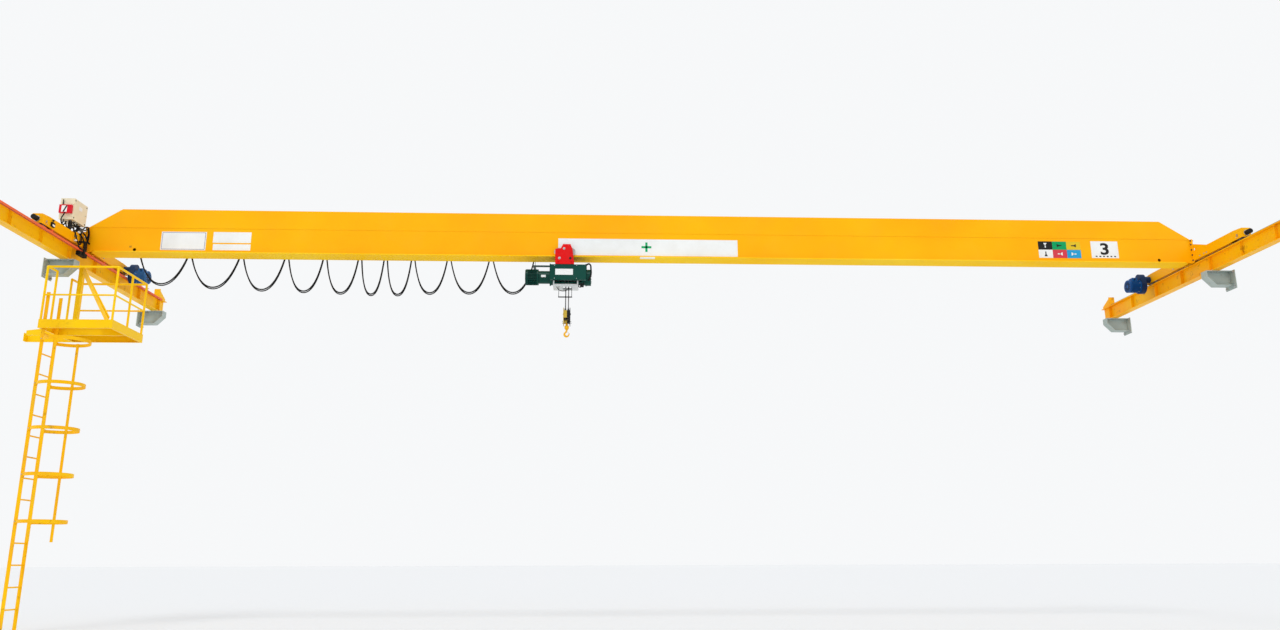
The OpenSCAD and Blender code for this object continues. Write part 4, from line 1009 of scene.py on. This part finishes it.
box_into(bm, clamp - Vector(clamp_half), clamp + Vector(clamp_half))
piece(bm, "festoon_end_clamp", galvanised, bridge, bevel=0.001)

# Trolley
# Two red side plates hang from four wheels on the bottom flange of the girder and carry the hoist
# between them on two tie rods, with ringed bolts and one dark nut on the near plate.
trolley = "trolley"
near_face = 0.250
far_tie_y = 0.666
trolley_x = 7.859
tie_z = 0.345

trolley_paint = enamel_paint("trolley_paint", (0.92, 0.008, 0.009), (0.72, 0.005, 0.006),
                             dust_and_sheen=(0.3, 0.12, 0.1), amount=0.15, rough=0.32)
dress(trolley_paint, "trolley_red", "trolley_frame")
dress(tread_steel, "rail_steel", "trolley_wheels_left", "trolley_wheels_right")
bm = bmesh.new()
for x, z, r in ((trolley_x - 0.012, 0.505, 0.011), (trolley_x - 0.085, tie_z, 0.012)):
    rod_into(bm, (x, near_face, z), (x, near_face - 0.003, z), r * 1.8, 24)
    bolt_into(bm, (x, near_face - 0.003, z), (0, -1, 0), r)
piece(bm, "trolley_ringed_bolts", zinc, trolley)
bm = bmesh.new()
bolt_into(bm, (trolley_x + 0.088, near_face, tie_z), (0, -1, 0), 0.016)
for x in (trolley_x - 0.103, trolley_x + 0.103):
    bolt_into(bm, (x, far_tie_y, tie_z), (0, 1, 0), 0.012)
piece(bm, "trolley_nuts", joint_black, trolley)

# Hoist
# A rope hoist: a ribbed motor and its neck on the left, the round drum casing with a square cover
# and end plates, all in dark green enamel, with plain white labels and black wiring.
drum_z = 0.078
casing_ends = (7.639, 8.229)
casing_ring = (0.108, 0.007)
cap_face = 8.278
cap_ring = (0.085, 0.007)
cover_screw_x = (7.700, 8.050)
cover_screw_z = (0.010, 0.222)
motor_slot = ((7.2300, -0.006, 0.035), (7.2325, 0.006, 0.098))

hoist_paint = enamel_paint("hoist_paint", (0.005, 0.085, 0.06), (0.002, 0.04, 0.03),
                           dust_and_sheen=(0.06, 0.12, 0.1), amount=0.15, rough=0.3)
dress(hoist_paint, "hoist_green", "hoist_frame", "hoist_motor", "hoist_casing")
plate_on("hoist_label", 7.712, 7.992, 0.068, 0.166, white_vinyl, body=trolley,
         face_y=(0.2455, 0.249))
plate_on("neck_label", 7.485, 7.560, 0.052, 0.086, white_vinyl, body=trolley,
         face_y=(0.3265, 0.345))
wiring = (
    ("end_cable", 0.013,
     ((8.200, 0.300, 0.245), (8.250, 0.292, 0.262), (8.277, 0.286, 0.17), (8.272, 0.286, 0.06),
      (8.235, 0.305, -0.015))),
    ("switch_cable_right", 0.007,
     ((8.165, 0.335, -0.03), (8.150, 0.325, -0.085), (8.105, 0.32, -0.115), (8.082, 0.33, -0.085),
      (8.12, 0.335, -0.06), (8.155, 0.33, -0.115))),
    ("switch_cable_under", 0.006,
     ((7.735, 0.345, -0.105), (7.765, 0.34, -0.150), (7.825, 0.335, -0.175),
      (7.885, 0.335, -0.165), (7.925, 0.345, -0.125), (7.930, 0.350, -0.105))),
)
for name, r, points in wiring:
    cable_mesh(name, points, r, rubber, trolley)
bm = bmesh.new()
box_into(bm, (8.105, 0.322, -0.098), (8.165, 0.362, -0.050))
piece(bm, "limit_switch", rubber, trolley, bevel=0.003)
bm = bmesh.new()
for x, out_x in zip(casing_ends, (-1, 1)):
    bolt_ring(bm, x, bridge_y, drum_z, *casing_ring, out_x)
for x in cover_screw_x:
    for z in cover_screw_z:
        bolt_into(bm, (x, 0.248, z), (0, -1, 0), 0.005)
bolt_ring(bm, cap_face, bridge_y, drum_z, *cap_ring, 1, count=6)
piece(bm, "hoist_bolts", zinc, trolley)
# The hoist motor's fan slots are black boxes too: painted shade for the openings.
bm = bmesh.new()
cowl_slots(bm, *motor_slot, bridge_y, drum_z)
piece(bm, "hoist_cowl_slots", rubber, trolley)

# Drum, rope guide and ropes
# The grooved drum winds a galvanised wire rope through a pale guide; black rods under the guide
# trip the limit switch. Four falls hang to the block, two round each of its sheaves.
fall_r = 0.006
rods_below = -0.106

guide_paint = enamel_paint("guide_paint", (0.78, 0.8, 0.78), (0.66, 0.69, 0.68),
                           dust_and_sheen=(0.3, 0.29, 0.26), amount=0.35, rough=0.45)
split_at(guide_paint, "Z", rods_below, (0.012, 0.012, 0.013), above=False)
rope_steel = steel_finish("wire_rope", (0.3, 0.3, 0.3), (0.12, 0.12, 0.12), rust=0.2, rough=0.4,
                          bump=0.4)
drum_steel = steel_finish("drum_steel", (0.32, 0.32, 0.31), (0.18, 0.17, 0.16), rust=0.15,
                          rough=0.35)
dress(guide_paint, "guide_white", "rope_guide")
dress(drum_steel, "rail_steel", "rope_drum", "hook_sheaves")
dress(rope_steel, "rope_steel", "rope_turns")
falls_low, falls_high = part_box("hoist_ropes")
bm = bmesh.new()
for x in (falls_low.x + fall_r, falls_high.x - fall_r):
    for y in (falls_low.y + fall_r, falls_high.y - fall_r):
        rod_into(bm, (x, y, falls_high.z), (x, y, falls_low.z), fall_r, 16)
falls = piece(bm, "rope_falls", rope_steel, None)
for face in falls.data.polygons:
    face.use_smooth = len(face.vertices) == 4
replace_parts(falls, "hoist_ropes")
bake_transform(falls)

# Hook block
# Two cheek plates with the sheaves between them: the left cheek is painted yellow and has gone
# olive with grease, the right one is black.
block = "hook_block"
cheek_x = (7.838, 7.962)
cheek_bolt_y = (0.39, 0.506)
cheek_bolt_z = -0.66
block_middle = 7.903

block_paint = enamel_paint("block_paint", (0.62, 0.42, 0.05), (0.36, 0.28, 0.05),
                           dust_and_sheen=(0.1, 0.09, 0.05), amount=0.4, rough=0.4)
split_at(block_paint, "X", block_middle, (0.015, 0.016, 0.016))
dress(block_paint, "hook_yellow", "hook_block")
bm = bmesh.new()
for y in cheek_bolt_y:
    for x, out_x in zip(cheek_x, (-1, 1)):
        bolt_into(bm, (x, y, cheek_bolt_z), (out_x, 0, 0), 0.008)
piece(bm, "cheek_bolts", zinc, block)

# Hook
# A forged single hook, bright yellow, that turns in a collar under the block. A sprung latch
# closes its throat.
hook_x = 7.9
bowl_z = -0.856
bowl_r = 0.034
bar_r = 0.0135
latch_lean = math.radians(-48)

hook_paint = enamel_paint("hook_paint", (0.95, 0.52, 0.02), (0.8, 0.36, 0.01),
                          dust_and_sheen=(0.25, 0.2, 0.1), amount=0.3, rust=0.1, rough=0.35)
bowl = [math.radians(degrees) for degrees in range(118, 341, 24)]
line = [(0.0, 0.085), (0.0, 0.062)]
line += [(bowl_r * math.cos(turn), bowl_r * math.sin(turn)) for turn in bowl]
line += [(0.043, 0.016)]
swell = (1.15, 1.1, 1.0, 1.05, 1.12, 1.2, 1.25, 1.25, 1.2, 1.1, 0.95, 0.8, 0.5)
forged = cable_mesh("forged_hook", [(hook_x + x, bridge_y, bowl_z + z) for x, z in line], bar_r,
                    hook_paint, "hook", sides=6, radii=swell)
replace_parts(forged, "hook")
bm = bmesh.new()
for top, foot, r, end_r in ((-0.630, -0.672, 0.024, 0.024), (-0.713, -0.724, 0.024, 0.034),
                            (-0.724, -0.758, 0.036, 0.036), (-0.758, -0.786, 0.036, 0.018)):
    rod_into(bm, (hook_x, bridge_y, top), (hook_x, bridge_y, foot), r, 28, end_r)
rod_into(bm, (hook_x, bridge_y, -0.66), (hook_x, bridge_y, -0.73), 0.017, 20)
piece(bm, "hook_collar", hook_paint, "hook", bevel=0.0015)
bm = bmesh.new()
latch = box_into(bm, (-0.002, bridge_y - 0.008, -0.026), (0.002, bridge_y + 0.008, 0.026))
bmesh.ops.rotate(bm, verts=latch, cent=(0, bridge_y, 0),
                 matrix=Matrix.Rotation(latch_lean, 3, "Y"))
bmesh.ops.translate(bm, verts=latch, vec=(hook_x + 0.022, 0, bowl_z + 0.032))
pin_x, pin_z = hook_x + 0.004, bowl_z + 0.05
rod_into(bm, (pin_x, bridge_y - 0.014, pin_z), (pin_x, bridge_y + 0.014, pin_z), 0.004, 12)
piece(bm, "hook_latch", zinc, "hook")
